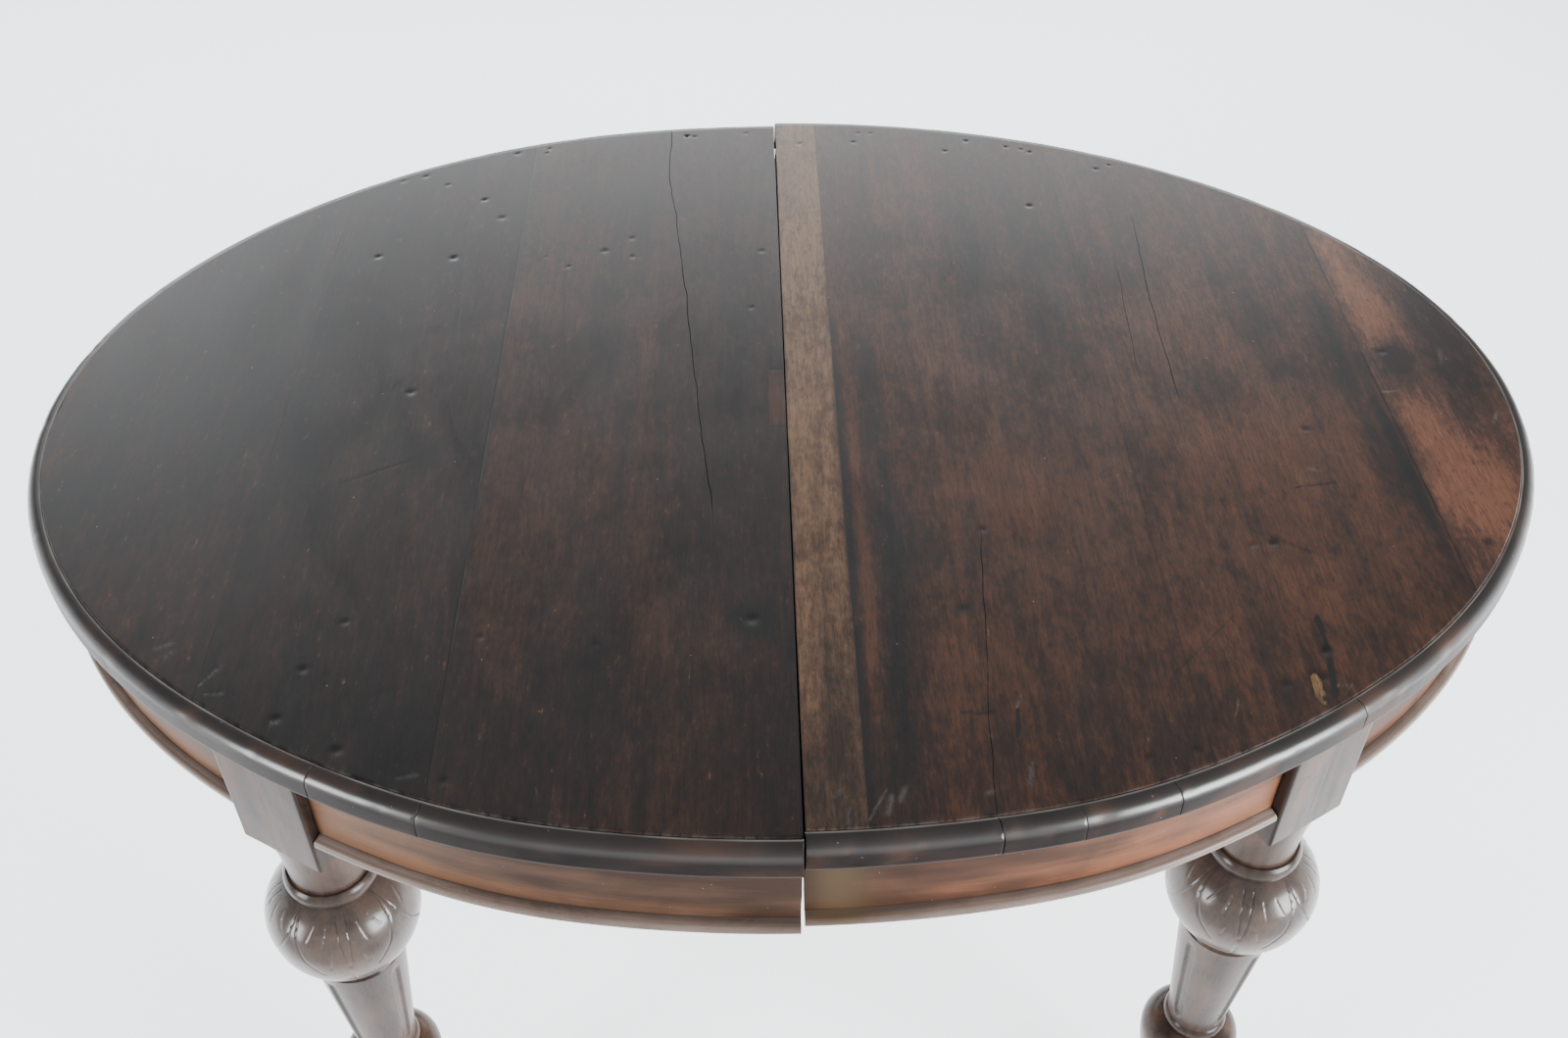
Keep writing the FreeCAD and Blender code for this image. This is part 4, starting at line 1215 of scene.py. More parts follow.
def leg_axes() -> dict[str, tuple[float, float, float]]:
    """Read the legs' places from their nodes.

    Returns:
        Each leg's axis in plan, from its node's box, and the heading of its outer face in radians.
    """
    spread = math.radians(LEG_SPREAD_DEG)
    headings = {"left_front_leg": math.pi + spread, "left_back_leg": math.pi - spread,
                "right_front_leg": math.tau - spread, "right_back_leg": spread}
    axes = {}
    for node, heading in headings.items():
        low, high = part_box(node)
        axes[node] = ((low.x + high.x) / 2, (low.y + high.y) / 2, heading)
    return axes


@dataclass(frozen=True)
class Section:
    """A closed section of a skirt: insets, heights, wear and how far each point is behind the show face."""

    insets: Array
    heights: Array
    wear: Array
    behind: Array


@dataclass
class Skirt:
    """The aprons and their beads: sections carried round the oval between the seam and the legs' blocks."""

    plan: OvalPlan
    seam: float
    left: MouldingFinish
    right: MouldingFinish
    bead: MouldingFinish
    inset: float = 17 * MM
    back: float = 41 * MM
    foot: float = 0.6425
    top: float = BLOCK_TOP
    nose_inset: float = 8.0 * MM
    nose_height: float = 9.5 * MM
    nose_round: float = 3.6 * MM
    ledge_rise: float = 2.2 * MM
    block_half: float = BLOCK_HALF
    bead_gap: float = 0.4 * MM
    step: float = 3.5 * MM
    open_height: float = 0.690
    open_reach: float = 14 * MM
    fade_x: float = 0.026

    def apron_section(self) -> Section:
        """A plain upright board, with rows up its show face.

        Returns:
            The section.
        """
        rows, ease = 14, 0.6 * MM
        face = np.linspace(self.foot + ease, self.top, rows)
        insets = np.concatenate([[self.back, self.inset + ease], np.full(rows, self.inset), [self.back]])
        heights = np.concatenate([[self.foot, self.foot], face, [self.top]])
        wear = np.concatenate([[0, 0], np.linspace(0.12, -0.08, rows), [0]])
        return Section(insets, heights, wear, part(insets - self.inset, 10 * MM))

    def bead_section(self) -> Section:
        """A small nose, quarter circles at its foot and top, under a ledge that slopes up to the apron.

        Returns:
            The section.
        """
        turn = np.linspace(0, math.pi / 2, 9)
        below, above = self.nose_round * (1 - np.cos(turn)), self.nose_round * (1 - np.sin(turn))
        shoulder = self.foot + self.nose_height
        root = self.inset - 0.2 * MM
        ledge = np.linspace(0, 1, 5)[1:]
        brow = self.nose_inset + self.nose_round
        insets = np.concatenate([[root], self.nose_inset + above, self.nose_inset + below,
                                 brow + ledge * (root - brow)])
        heights = np.concatenate([[self.foot], self.foot + below, shoulder - above,
                                  shoulder + ledge * self.ledge_rise])
        wear = np.concatenate([[0], np.linspace(-0.1, 0.2, 9), np.linspace(0.25, 0.5, 9),
                               (0.1, -0.1, -0.2, -0.6)])
        return Section(insets, heights, wear, np.zeros_like(insets))

    def seam_end(self, section: Section, half: Half, guess: float) -> Array:
        """The angle of an end at the seam: apart at the foot and on the show face, nearly meeting behind it.

        Args:
            section: The section that is carried.
            half: The length's half.
            guess: An angle near the answer, in radians.

        Returns:
            The angle for each point of the section.
        """
        low = part(self.open_height - section.heights, self.open_reach)
        apart = SEAM_TOUCH + self.seam * np.maximum(0.6 * (1 - section.behind), 0.95 * low)
        return self.plan.angle_at((1, 0), half.value * apart, section.insets, half, guess)

    def block_end(self, section: Section, half: Half, leg: tuple[float, float, float], side: int,
                  gap: float) -> Array:
        """The angle of an end on a block's side.

        Args:
            section: The section that is carried.
            half: The length's half.
            leg: The leg's axis and heading.
            side: 1 for the side with the larger angles, -1 for the other.
            gap: Gap left at the block.

        Returns:
            The angle for each point of the section.
        """
        x, y, heading = leg
        way = (-math.sin(heading), math.cos(heading))
        offset = x * way[0] + y * way[1] + side * (self.block_half + gap)
        guess = math.atan2(y / self.plan.half_width, x / self.plan.half_length)
        return self.plan.angle_at(way, offset, section.insets, half, guess)

    def ends(self, section: Section, half: Half, place: str, gap: float) -> tuple[Array, Array]:
        """Start and end angles of a length, counter-clockwise in plan from the seam or a leg to the next.

        Args:
            section: The section that is carried.
            half: The length's half.
            place: front, end or back.
            gap: Gap left at a block.

        Returns:
            The two angles for each point of the section.
        """
        quarter = math.pi / 2
        order, first_seam, last_seam = {
            Half.LEFT: (("back", "end", "front"), quarter, 3 * quarter),
            Half.RIGHT: (("front", "end", "back"), -quarter, quarter),
        }[half]
        axes = leg_axes()
        legs = [axes[half.node(f"{name}_leg")] for name in order[::2]]
        rank = order.index(place)
        start = (self.block_end(section, half, legs[rank - 1], 1, gap) if rank > 0
                 else self.seam_end(section, half, first_seam))
        end = (self.block_end(section, half, legs[rank], -1, gap) if rank < 2
               else self.seam_end(section, half, last_seam))
        return start, start + (end - start) % math.tau

    def build(self, name: str, section: Section, half: Half, place: str, gap: float,
              seed: int) -> bpy.types.Object:
        """Make one length: point = outline(angle, inset + waves) at a height.

        Args:
            name: The piece's name.
            section: The section that is carried.
            half: The length's half.
            place: front, end or back.
            gap: Gap left at a block.
            seed: Seed of its waves.

        Returns:
            The piece.
        """
        start, end = self.ends(section, half, place, gap)
        mean = self.plan.mean_radius
        shares = np.linspace(0, 1, int(float(end[0] - start[0]) * mean / self.step))
        angle = start + shares[:, None] * (end - start)
        along = angle * mean
        level = section.heights[None, :]
        shown = section.insets < self.inset + 0.1 * MM
        waves = 0.12 * MM * (1 + ripple(along, level * 2, seed, 0.07)) * shown
        x, y = self.plan.point(angle, section.insets + waves, half)
        y = self.plan.fuller(x, y, 0.0)
        z = np.broadcast_to(section.heights, x.shape)
        worn = section.wear[None, :] + 0.2 * ripple(along, level * 4, seed + 3, 0.10)
        worn = worn + (place != "end") * np.clip(2.2 * (np.abs(x) - 0.2), -0.4, 0.4)
        faded = half is Half.RIGHT and place == "front"
        fade = np.exp(-((x - self.fade_x) / self.fade_x) ** 2) * faded
        draft = Draft()
        draft.tube(np.stack([x, y, z], axis=-1), worn=worn, fade=fade)
        return draft.piece(name, 35)

    def place(self) -> None:
        """Build every apron and bead and let it stand for its node."""
        woods = {Half.LEFT: self.left.material(), Half.RIGHT: self.right.material()}
        trim = self.bead.material()
        lengths = [(half, place) for half in Half for place in ("front", "end", "back")]
        for seed, (half, place) in enumerate(lengths, start=Seed.FIRST_SKIRT):
            node = half.node(f"{place}_apron")
            thing = self.build(f"{node}_worn", self.apron_section(), half, place, 0.0, seed)
            stand_in(thing, node, half.body, "apron_wood", woods[half])
            node = half.node(f"{place}_bead")
            thing = self.build(f"{node}_worn", self.bead_section(), half, place, self.bead_gap, seed + 20)
            stand_in(thing, node, half.body, "bead_wood", trim)


@dataclass
class Turning:
    """A profile cut on a lathe, gathered from the top down as radii, heights and rows' tones."""

    radii: list[Array] = field(default_factory=list)
    heights: list[Array] = field(default_factory=list)
    tones: list[Array] = field(default_factory=list)

    def stretch(self, start: tuple[float, float], end: tuple[float, float], bow: float = 0.0,
                rows: int = 2, tone: float = 0.0) -> None:
        """Add a straight or bowed stretch: the chord plus an arc of a given sagitta.

        The arc is a true circle's: sagitta h on chord c has radius r = (c * c / 4 + h * h) / (2 * h).

        Args:
            start: Radius and height where it starts.
            end: Radius and height where it ends.
            bow: Sagitta, outwards if positive, hollow if negative.
            rows: Rows, both ends counted.
            tone: Lighter or darker colour of the stretch.
        """
        (r0, z0), (r1, z1) = start, end
        share = np.linspace(0, 1, rows)
        chord = math.hypot(r1 - r0, z1 - z0)
        out = np.zeros(rows)
        along = share * chord
        if bow:
            radius = (chord ** 2 / 4 + bow ** 2) / (2 * abs(bow))
            sweep = 2 * math.asin(min(1.0, chord / 2 / radius))
            turn = (share - 0.5) * sweep
            out = math.copysign(1, bow) * (radius * np.cos(turn) - radius * math.cos(sweep / 2))
            along = chord / 2 + radius * np.sin(turn)
        step_r, step_z = (r1 - r0) / chord, (z1 - z0) / chord
        self.radii.append(r0 + step_r * along - step_z * out)
        self.heights.append(z0 + step_z * along + step_r * out)
        self.tones.append(np.full(rows, tone))


def swell(run: float, rise: float) -> float:
    """Sagitta of an arc that ends upright at its wide end, over a run across and a rise along."""
    radius = (run ** 2 + rise ** 2) / (2 * run)
    return radius - math.sqrt(radius ** 2 - (run ** 2 + rise ** 2) / 4)


@dataclass
class Leg:
    """A turned leg: square block, neck, ring, carved bulb, fluted shaft, vase and peg foot."""

    finish: LegFinish
    columns: int = 360
    block_half: float = BLOCK_HALF
    block_round: float = 2.5 * MM
    block_top: float = BLOCK_TOP
    block_rows: int = 12
    block_foot: float = 0.610
    neck_radius: float = 41 * MM
    neck_foot: float = 0.548
    neck_waist: float = 35.5 * MM
    ring_radius: float = 38 * MM
    ring_foot: float = 0.531
    bulb_top: float = 38.5 * MM
    bulb_radius: float = 67.8 * MM
    bulb_middle: float = 0.4855
    bulb_foot: float = 0.431
    bulb_end: float = 47 * MM
    collar_radius: float = 43 * MM
    shaft_top: float = 0.418
    shaft_radius: float = 42.8 * MM
    shaft_foot: float = 0.254
    shaft_end: float = 27.5 * MM
    flute_half: float = 6 * MM
    flute_depth: float = 2.9 * MM
    flute_margin: float = 13 * MM
    flute_side: float = 3.5 * MM
    low_ring_foot: float = 0.240
    vase_top: float = 29 * MM
    vase_middle: float = 0.213
    vase_radius: float = 48 * MM
    vase_waist: float = 38.5 * MM
    vase_waist_height: float = 0.1652
    ankle_top: float = 0.105
    ankle: float = 25 * MM
    ankle_ring: float = 26.5 * MM
    foot_top: float = 0.092
    foot_neck: float = 25.5 * MM
    foot_middle: float = 0.066
    foot_radius: float = 36 * MM
    pad_height: float = 8 * MM
    pad_radius: float = 22 * MM
    pad_bevel: float = 2 * MM
    leaves: int = 4
    cut_half: float = 1.1 * MM
    cut_depth: float = 0.75 * MM
    tip_radius: float = 0.2 * MM
    gloss_heights: tuple[float, ...] = (0.0, 0.43, 0.46, 0.50, 0.53, 0.55, 0.61, 0.72)
    gloss: tuple[float, ...] = (0.3, 0.3, 0.4, 1.0, 1.0, 0.4, 0.2, 0.1)

    def profile(self) -> Turning:
        """The turned part from under the block to the floor.

        Returns:
            The profile, from the top down.
        """
        t = Turning()
        t.stretch((self.neck_radius, self.block_foot), (self.neck_waist, self.neck_foot), -1.2 * MM, 14, 0.2)
        t.stretch((self.ring_radius, self.neck_foot), (self.ring_radius, self.ring_foot), 3.8 * MM, 12, 0.1)
        t.stretch((self.bulb_top, self.ring_foot), (self.bulb_radius, self.bulb_middle),
                  swell(self.bulb_radius - self.bulb_top, self.ring_foot - self.bulb_middle), 52, 0.3)
        t.stretch((self.bulb_radius, self.bulb_middle), (self.bulb_end, self.bulb_foot),
                  swell(self.bulb_radius - self.bulb_end, self.bulb_middle - self.bulb_foot), 46, 0.3)
        t.stretch((self.collar_radius, self.bulb_foot), (self.collar_radius, self.shaft_top), -3 * MM, 10,
                  0.1)
        t.stretch((self.shaft_radius, self.shaft_top), (self.shaft_end, self.shaft_foot), rows=42, tone=0.1)
        t.stretch((self.shaft_end, self.shaft_foot), (self.shaft_end, self.low_ring_foot), 3.2 * MM, 10)
        t.stretch((self.vase_top, self.low_ring_foot), (self.vase_radius, self.vase_middle),
                  swell(self.vase_radius - self.vase_top, self.low_ring_foot - self.vase_middle), 10)
        t.stretch((self.vase_radius, self.vase_middle), (self.vase_waist, self.vase_waist_height),
                  swell(self.vase_radius - self.vase_waist, self.vase_middle - self.vase_waist_height), 13)
        t.stretch((self.vase_waist, self.vase_waist_height), (self.ankle, self.ankle_top),
                  -swell(self.vase_waist - self.ankle, self.vase_waist_height - self.ankle_top), 12)
        t.stretch((self.ankle_ring, self.ankle_top), (self.ankle_ring, self.foot_top), 4.5 * MM, 10)
        t.stretch((self.foot_neck, self.foot_top), (self.foot_radius, self.foot_middle),
                  swell(self.foot_radius - self.foot_neck, self.foot_top - self.foot_middle), 10)
        t.stretch((self.foot_radius, self.foot_middle), (self.pad_radius, self.pad_height),
                  swell(self.foot_radius - self.pad_radius, self.foot_middle - self.pad_height), 13)
        t.stretch((self.pad_radius, self.pad_height), (self.pad_radius - self.pad_bevel, 0.0), rows=4)
        return t

    def square(self, turn: Array) -> Array:
        """Distance from the axis to the block's outline: flat sides with rounded corners.

        Args:
            turn: Angles round the axis.

        Returns:
            The distance at each angle.
        """
        fold = np.abs((turn + math.pi / 4) % (math.pi / 2) - math.pi / 4)
        inner = self.block_half - self.block_round
        flat = self.block_half / np.cos(fold)
        lean = np.clip(self.block_round ** 2 - inner ** 2 * (1 - np.sin(2 * fold)), 0, None)
        corner = inner * (np.cos(fold) + np.sin(fold)) + np.sqrt(lean)
        return np.where(self.block_half * np.tan(fold) <= inner, flat, corner)

    def carving(self, turn: Array, height: Array) -> tuple[Array, Array]:
        """Depth shares of the leaves cut into the bulb: outlines, a vein below each tip, and short gouges.

        Each cut is a curve of angle from the leaf's middle against the share of the way down the bulb; a
        point's depth is 1 less its distance from the curve over the cut's half width.

        Args:
            turn: Angles round the axis, in the leg's own frame.
            height: Heights, broadcast against the angles.

        Returns:
            Depth share of the outlines, then of the gouges, at each point, from 0 to 1.
        """
        pitch = math.tau / self.leaves
        side = (turn % pitch) - pitch / 2
        tall = self.ring_foot - self.bulb_foot
        down = (self.ring_foot - height) / tall

        def cut(*way: tuple[float, float]) -> Array:
            """One cut, mirrored on both sides of the leaf's middle.

            Args:
                way: Its points: degrees from the leaf's middle, and share of the way down the bulb.

            Returns:
                Depth share at each point of the bulb.
            """
            angles, shares = np.array(way).T
            place = np.radians(np.interp(down, shares, angles))
            gap = np.abs(np.abs(side) - place) * self.bulb_radius * 0.9
            past = np.maximum(np.maximum(shares[0] - down, down - shares[-1]), 0) * tall
            return 1 - part(np.sqrt(gap ** 2 + past ** 2), self.cut_half)

        inside = (down > 0) * (down < 1)
        outlines = np.maximum.reduce([cut((44, 0.01), (41, 0.20), (33, 0.40), (20, 0.60)),
                                      cut((5, 0.04), (3, 0.3), (0.4, 0.5)),
                                      cut((0.4, 0.60), (0.2, 0.8), (0.4, 0.97))])
        gouges = np.maximum.reduce([cut((15, 0.10), (18, 0.24)), cut((27, 0.09), (32, 0.20)),
                                    cut((12, 0.38), (14, 0.48))])
        return outlines * inside, gouges * inside

    def flutes(self, turn: Array, height: Array, radius: Array) -> Array:
        """Depth of the four flutes down the shaft: a flat floor with smooth sides and rounded ends.

        Args:
            turn: Angles round the axis.
            height: Heights, broadcast against the angles.
            radius: Radius of the shaft at each height.

        Returns:
            The depth at each point.
        """
        side = np.abs((turn + math.pi / 4) % (math.pi / 2) - math.pi / 4) * radius
        top = self.shaft_top - self.flute_margin - self.flute_half
        foot = self.shaft_foot + self.flute_margin + self.flute_half
        past = np.maximum(np.maximum(height - top, foot - height), 0)
        inside = self.flute_half - np.sqrt(side ** 2 + past ** 2)
        share = part(inside, self.flute_side)
        return self.flute_depth * share * share * (3 - 2 * share)

    def build(self, name: str, x: float, y: float, heading: float, seed: int) -> bpy.types.Object:
        """Make one leg as one closed skin: rows down the leg, columns round it.

        Args:
            name: The piece's name.
            x: Place of its axis along X.
            y: Place of its axis along Y.
            heading: Angle of the block's outer face, in radians.
            seed: Seed of its bruises.

        Returns:
            The piece.
        """
        turn = np.arange(self.columns) * math.tau / self.columns
        profile = self.profile()
        radius, height, tone = (np.concatenate(rows)[:, None]
                                for rows in (profile.radii, profile.heights, profile.tones))
        outlines, gouges = self.carving(turn[None, :], height)
        wobble = 0.18 * MM * ripple(turn[None, :] * 3, height * 40, seed, 2.2)
        cut = self.cut_depth * (outlines + gouges)
        turned = radius + wobble - cut - self.flutes(turn[None, :], height, radius)
        levels = np.linspace(self.block_top, self.block_foot, self.block_rows)[:, None]
        rough = 0.25 * MM * (1 + ripple(turn[None, :] * 4, levels * 30, seed + 7, 2.0))
        blank = np.zeros((1, self.columns))
        tip = blank + self.tip_radius
        rows_r = np.vstack([tip, self.square(turn)[None, :] - rough, turned, tip])
        rows_z = np.vstack([[[self.block_top]], levels, height, [[0.0]]])
        flank = part(np.abs(np.sin(turn)) - 0.6, 0.15)
        block = np.broadcast_to(0.15 - 0.35 * flank, rough.shape)
        tones = np.vstack([blank, block, tone - 0.4 * outlines, blank])
        cuts = np.vstack([blank, np.zeros(rough.shape), gouges, blank])
        gloss = np.broadcast_to(np.interp(rows_z, self.gloss_heights, self.gloss), rows_r.shape)
        angle = turn + heading
        points = np.stack([x + rows_r * np.cos(angle), y + rows_r * np.sin(angle),
                           np.broadcast_to(rows_z, rows_r.shape)], axis=-1)
        draft = Draft()
        draft.tube(points[::-1], tone=tones[::-1], carve=cuts[::-1], polish=gloss[::-1])
        return draft.piece(name, 38)

    def place(self) -> None:
        """Build four legs on the axes of their nodes."""
        material = self.finish.material()
        for seed, (node, (x, y, heading)) in enumerate(leg_axes().items(), start=Seed.FIRST_LEG):
            body = Half.LEFT.body if node.startswith("left") else Half.RIGHT.body
            stand_in(self.build(f"{node}_carved", x, y, heading, seed), node, body, "leg_wood", material)


# The studio


@dataclass(frozen=True)
class PhotoCamera:
    """A camera where the photograph was taken from."""

    x: float = -0.0334
    y: float = -1.1787
    z: float = 1.7010
    pitch_deg: float = 43.174
    yaw_deg: float = 1.562
    roll_deg: float = 0.113
    focal_px: float = 1609.3
    image_px: float = 1600.0
    sensor_mm: float = 36.0

    def build(self) -> None:
        """Make the camera and make it the scene's own."""
        pitch, yaw, roll = (math.radians(v) for v in (self.pitch_deg, self.yaw_deg, self.roll_deg))
        ahead = Vector((math.sin(yaw) * math.cos(pitch), math.cos(yaw) * math.cos(pitch), -math.sin(pitch)))
        right = Vector((math.cos(yaw), -math.sin(yaw), 0))
        up = right.cross(ahead)
        right, up = (right * math.cos(roll) + up * math.sin(roll),
                     up * math.cos(roll) - right * math.sin(roll))
        data = bpy.data.cameras.new("photo_camera")
        data.sensor_width = self.sensor_mm
        data.lens = self.focal_px / self.image_px * self.sensor_mm
        data.clip_end = 100
        camera = bpy.data.objects.new("photo_camera", data)
        turn = Matrix((right, up, -ahead)).transposed().to_4x4()
        camera.matrix_world = Matrix.Translation((self.x, self.y, self.z)) @ turn
        bpy.context.scene.collection.objects.link(camera)
        bpy.context.scene.camera = camera


@dataclass(frozen=True)
class SoftBox:
    """A soft light: its place, where it points, its width, height and power."""

    name: str
    place: tuple[float, float, float]
    aim: tuple[float, float, float]
    wide: float
    tall: float
    watts: float
    colour: Colour = (0.95, 0.98, 1.0)

    def build(self) -> None:
        """Make the light."""
        data = bpy.data.lights.new(self.name, "AREA")
        data.shape = "RECTANGLE"
        data.size = self.wide
        data.size_y = self.tall
        data.energy = self.watts
        data.color = self.colour
        lamp = bpy.data.objects.new(self.name, data)
        lamp.location = self.place
        lamp.rotation_euler = (Vector(self.aim) - Vector(self.place)).to_track_quat("-Z", "Y").to_euler()
        bpy.context.scene.collection.objects.link(lamp)


@dataclass(frozen=True)
class Studio:
    """A pale floor that glows as a lit backdrop does, less so in front of the table, and soft lights."""

    floor_colour: Colour = (0.86, 0.88, 0.90)
    front_colour: Colour = (0.50, 0.51, 0.52)
    front_glow: Colour = (0.14, 0.145, 0.15)
    room_colour: Colour = (0.93, 0.965, 1.0)
    room_strength: float = 0.25
    floor_glow: float = 2.2
    lights: tuple[SoftBox, ...] = ()

    def build(self) -> None:
        """Make the floor, the room's light and the lamps."""
        reach = 14.0
        draft = Draft()
        x = np.linspace(-reach, reach, 3)
        y = np.linspace(-reach, reach, 3)
        draft.sheet(np.stack(np.meshgrid(x, y) + [np.zeros((3, 3))], axis=-1))
        floor = draft.piece("floor")
        s = Shader("floor_paper")
        depth = s.node("ShaderNodeSeparateXYZ", {}, {0: s.node("ShaderNodeTexCoord", output="Object")}, "Y")
        lit = s.step(depth, -1.0, -0.4)
        dress(floor, s.finish(Base_Color=s.mix(lit, self.front_colour, self.floor_colour), Roughness=0.9,
                              Emission_Color=s.mix(lit, self.front_glow, self.room_colour),
                              Emission_Strength=self.floor_glow))
        floor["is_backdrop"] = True
        world = bpy.data.worlds.new("bright_room")
        world.use_nodes = True
        background = next(n for n in world.node_tree.nodes if n.type == "BACKGROUND")
        background.inputs["Color"].default_value = (*self.room_colour, 1.0)
        background.inputs["Strength"].default_value = self.room_strength
        bpy.context.scene.world = world
        for light in self.lights:
            light.build()


# The table


def plan_of_table() -> OvalPlan:
    """Read the oval's size, and how far the halves are out of line, from the frame.

    Returns:
        The plan.
    """
    low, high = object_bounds()
    front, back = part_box("left_front_rim")[0].y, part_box("left_back_rim")[1].y
    return OvalPlan(half_length=high.x, half_width=(back - front) / 2, step=-(back + front))


def top_boards() -> tuple[Board, ...]:
    """Lay out the seven boards, from left to right, with their cracks.

    Returns:
        The boards.
    """
    wavy = Crack(((-0.121, 0.505), (-0.122, 0.40), (-0.114, 0.33), (-0.108, 0.27), (-0.098, 0.164),
                  (-0.086, 0.02), (-0.077, -0.08), (-0.068, -0.163)), half_width=0.42 * MM, seed=3)
    right_front = Crack(((0.139, -0.505), (0.146, -0.40), (0.156, -0.29), (0.163, -0.20)),
                        half_width=0.3 * MM, seed=6)
    right_far = Crack(((0.388, 0.30), (0.378, 0.15), (0.373, -0.008)),
                      half_width=0.28 * MM, seed=7, depth=2 * MM)
    right_back = Crack(((0.3535, 0.20), (0.343, 0.03)), half_width=0.2 * MM, seed=8, depth=1.5 * MM)

    def board(half: Half, name: str, finish: BoardFinish, marks: tuple[float, float], *cracks: Crack,
              slot: str = "top_wood") -> Board:
        """Take a board's edges from its node."""
        low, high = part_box(half.node(name))
        return Board(name, half, low.x, high.x, slot, finish, marks, cracks)

    def plain(name: str, tone: float, light: float, *shift: float) -> BoardFinish:
        """A finish in the top's own colours."""
        return BoardFinish(f"{name}_polish", tone=tone, light=light, shift=shift)

    left, right = Half.LEFT, Half.RIGHT
    red = BoardFinish("end_board_polish", deep=(0.020, 0.011, 0.0085), body=(0.078, 0.033, 0.021),
                      warm=(0.21, 0.083, 0.045), tone=-0.06, light=1.08, shift=(8, 2, 0))
    fawn = BoardFinish("strip_polish", deep=(0.034, 0.018, 0.011), body=(0.115, 0.058, 0.031),
                       warm=(0.25, 0.135, 0.072), tone=0.16, light=1.1, shift=(6, 1, 0))
    return (
        board(left, "end_board", plain("left_end", -0.08, 0.45, 1, 0, 0), (0.1, 0.25)),
        board(left, "middle_board", plain("left_middle", -0.03, 0.30, 2, 5, 0), (0.25, 0.9)),
        board(left, "seam_board", plain("left_seam", 0.02, 0.43, 3, 3, 0), (0.8, 0.7), wavy),
        board(right, "seam_strip", fawn, (0.7, 0.3), slot="strip_wood"),
        board(right, "inner_board", plain("right_inner", 0.05, 0.67, 4, 7, 0), (0.3, 0.3), right_front),
        board(right, "middle_board", plain("right_middle", 0.08, 0.76, 5, 4, 0), (0.3, 0.9),
              right_back, right_far),
        board(right, "end_board", red, (0.8, 0.1), slot="end_board_wood"),
    )


def bruises() -> tuple[Dent, ...]:
    """Bruises and plugged holes, placed by eye, then small worm holes scattered near the back edge.

    Returns:
        The bruises and holes.
    """
    places = (
        (-0.035, -0.295, 6.0, 1.4, -1.0), (-0.367, -0.290, 4.5, 1.2, -0.7), (-0.391, -0.341, 5.0, 1.2, -0.5),
        (-0.402, -0.391, 5.0, 1.2, -0.5), (-0.350, -0.423, 5.5, 1.4, -0.3), (-0.266, -0.454, 3.5, 1.0, -0.2),
        (-0.255, -0.309, 4.0, 1.0, -0.5), (-0.161, -0.320, 4.0, 1.0, -0.4), (0.166, -0.193, 4.0, 1.0, -0.6),
        (0.3955, -0.218, 4.0, 1.2, -0.2), (0.414, -0.2165, 5.0, 1.3, -1.0), (0.599, -0.220, 4.0, 1.2, -0.9),
        (0.260, -0.445, 4.0, 1.0, -0.2), (0.299, -0.439, 4.0, 1.0, -0.2), (0.424, -0.341, 5.5, 1.5, -0.7),
        (0.415, -0.369, 4.5, 1.4, -0.6), (0.383, -0.376, 5.0, 1.0, -0.5), (0.482, -0.066, 5.0, 0.8, -0.9),
        (-0.425, 0.240, 3.5, 1.6, -1.2), (-0.345, 0.236, 4.0, 1.8, -1.4), (-0.325, 0.350, 3.0, 2.0, -1.4),
        (-0.302, 0.313, 4.0, 1.0, -0.9), (-0.397, 0.401, 3.4, 1.4, -1.0), (-0.370, 0.382, 3.0, 1.2, -1.0),
        (-0.421, 0.391, 3.0, 1.2, -0.8), (-0.298, 0.449, 3.0, 1.8, -1.3), (-0.262, 0.459, 2.4, 1.4, -1.0),
        (-0.2225, 0.217, 2.6, 1.2, -1.2), (-0.247, 0.236, 3.2, 0.8, -0.7), (-0.186, 0.2455, 4.0, 1.0, -0.9),
        (-0.158, 0.269, 3.4, 0.8, -0.6), (-0.156, 0.234, 3.4, 0.8, -0.6), (-0.019, 0.2415, 3.2, 0.9, -0.9),
        (-0.031, 0.139, 3.0, 0.8, -0.7), (-0.357, 0.009, 4.4, 1.2, -1.1), (0.139, -0.287, 5.0, 0.6, -0.9),
        (0.278, 0.3235, 3.4, 2.0, -1.4), (0.5876, 0.05, 4.0, 1.0, -0.7),
    )
    placed = tuple(Dent(x, y, 0.8 * radius * MM, 0.6 * depth * MM, 0.65 * stain)
                   for x, y, radius, depth, stain in places)
    draw = np.random.default_rng(Seed.WORM_HOLES)
    holes = 16
    spots = zip(draw.uniform(-0.36, 0.40, holes), draw.exponential(9 * MM, holes) + 4 * MM,
                draw.uniform(1.2, 2.0, holes) * MM)
    edge_x, edge_y = 0.683, 0.497
    scattered = tuple(
        Dent(float(x), edge_y * math.sqrt(1 - (x / edge_x) ** 2) - float(inward), float(size), 1.2 * MM, -0.8)
        for x, inward, size in spots)
    return placed + scattered


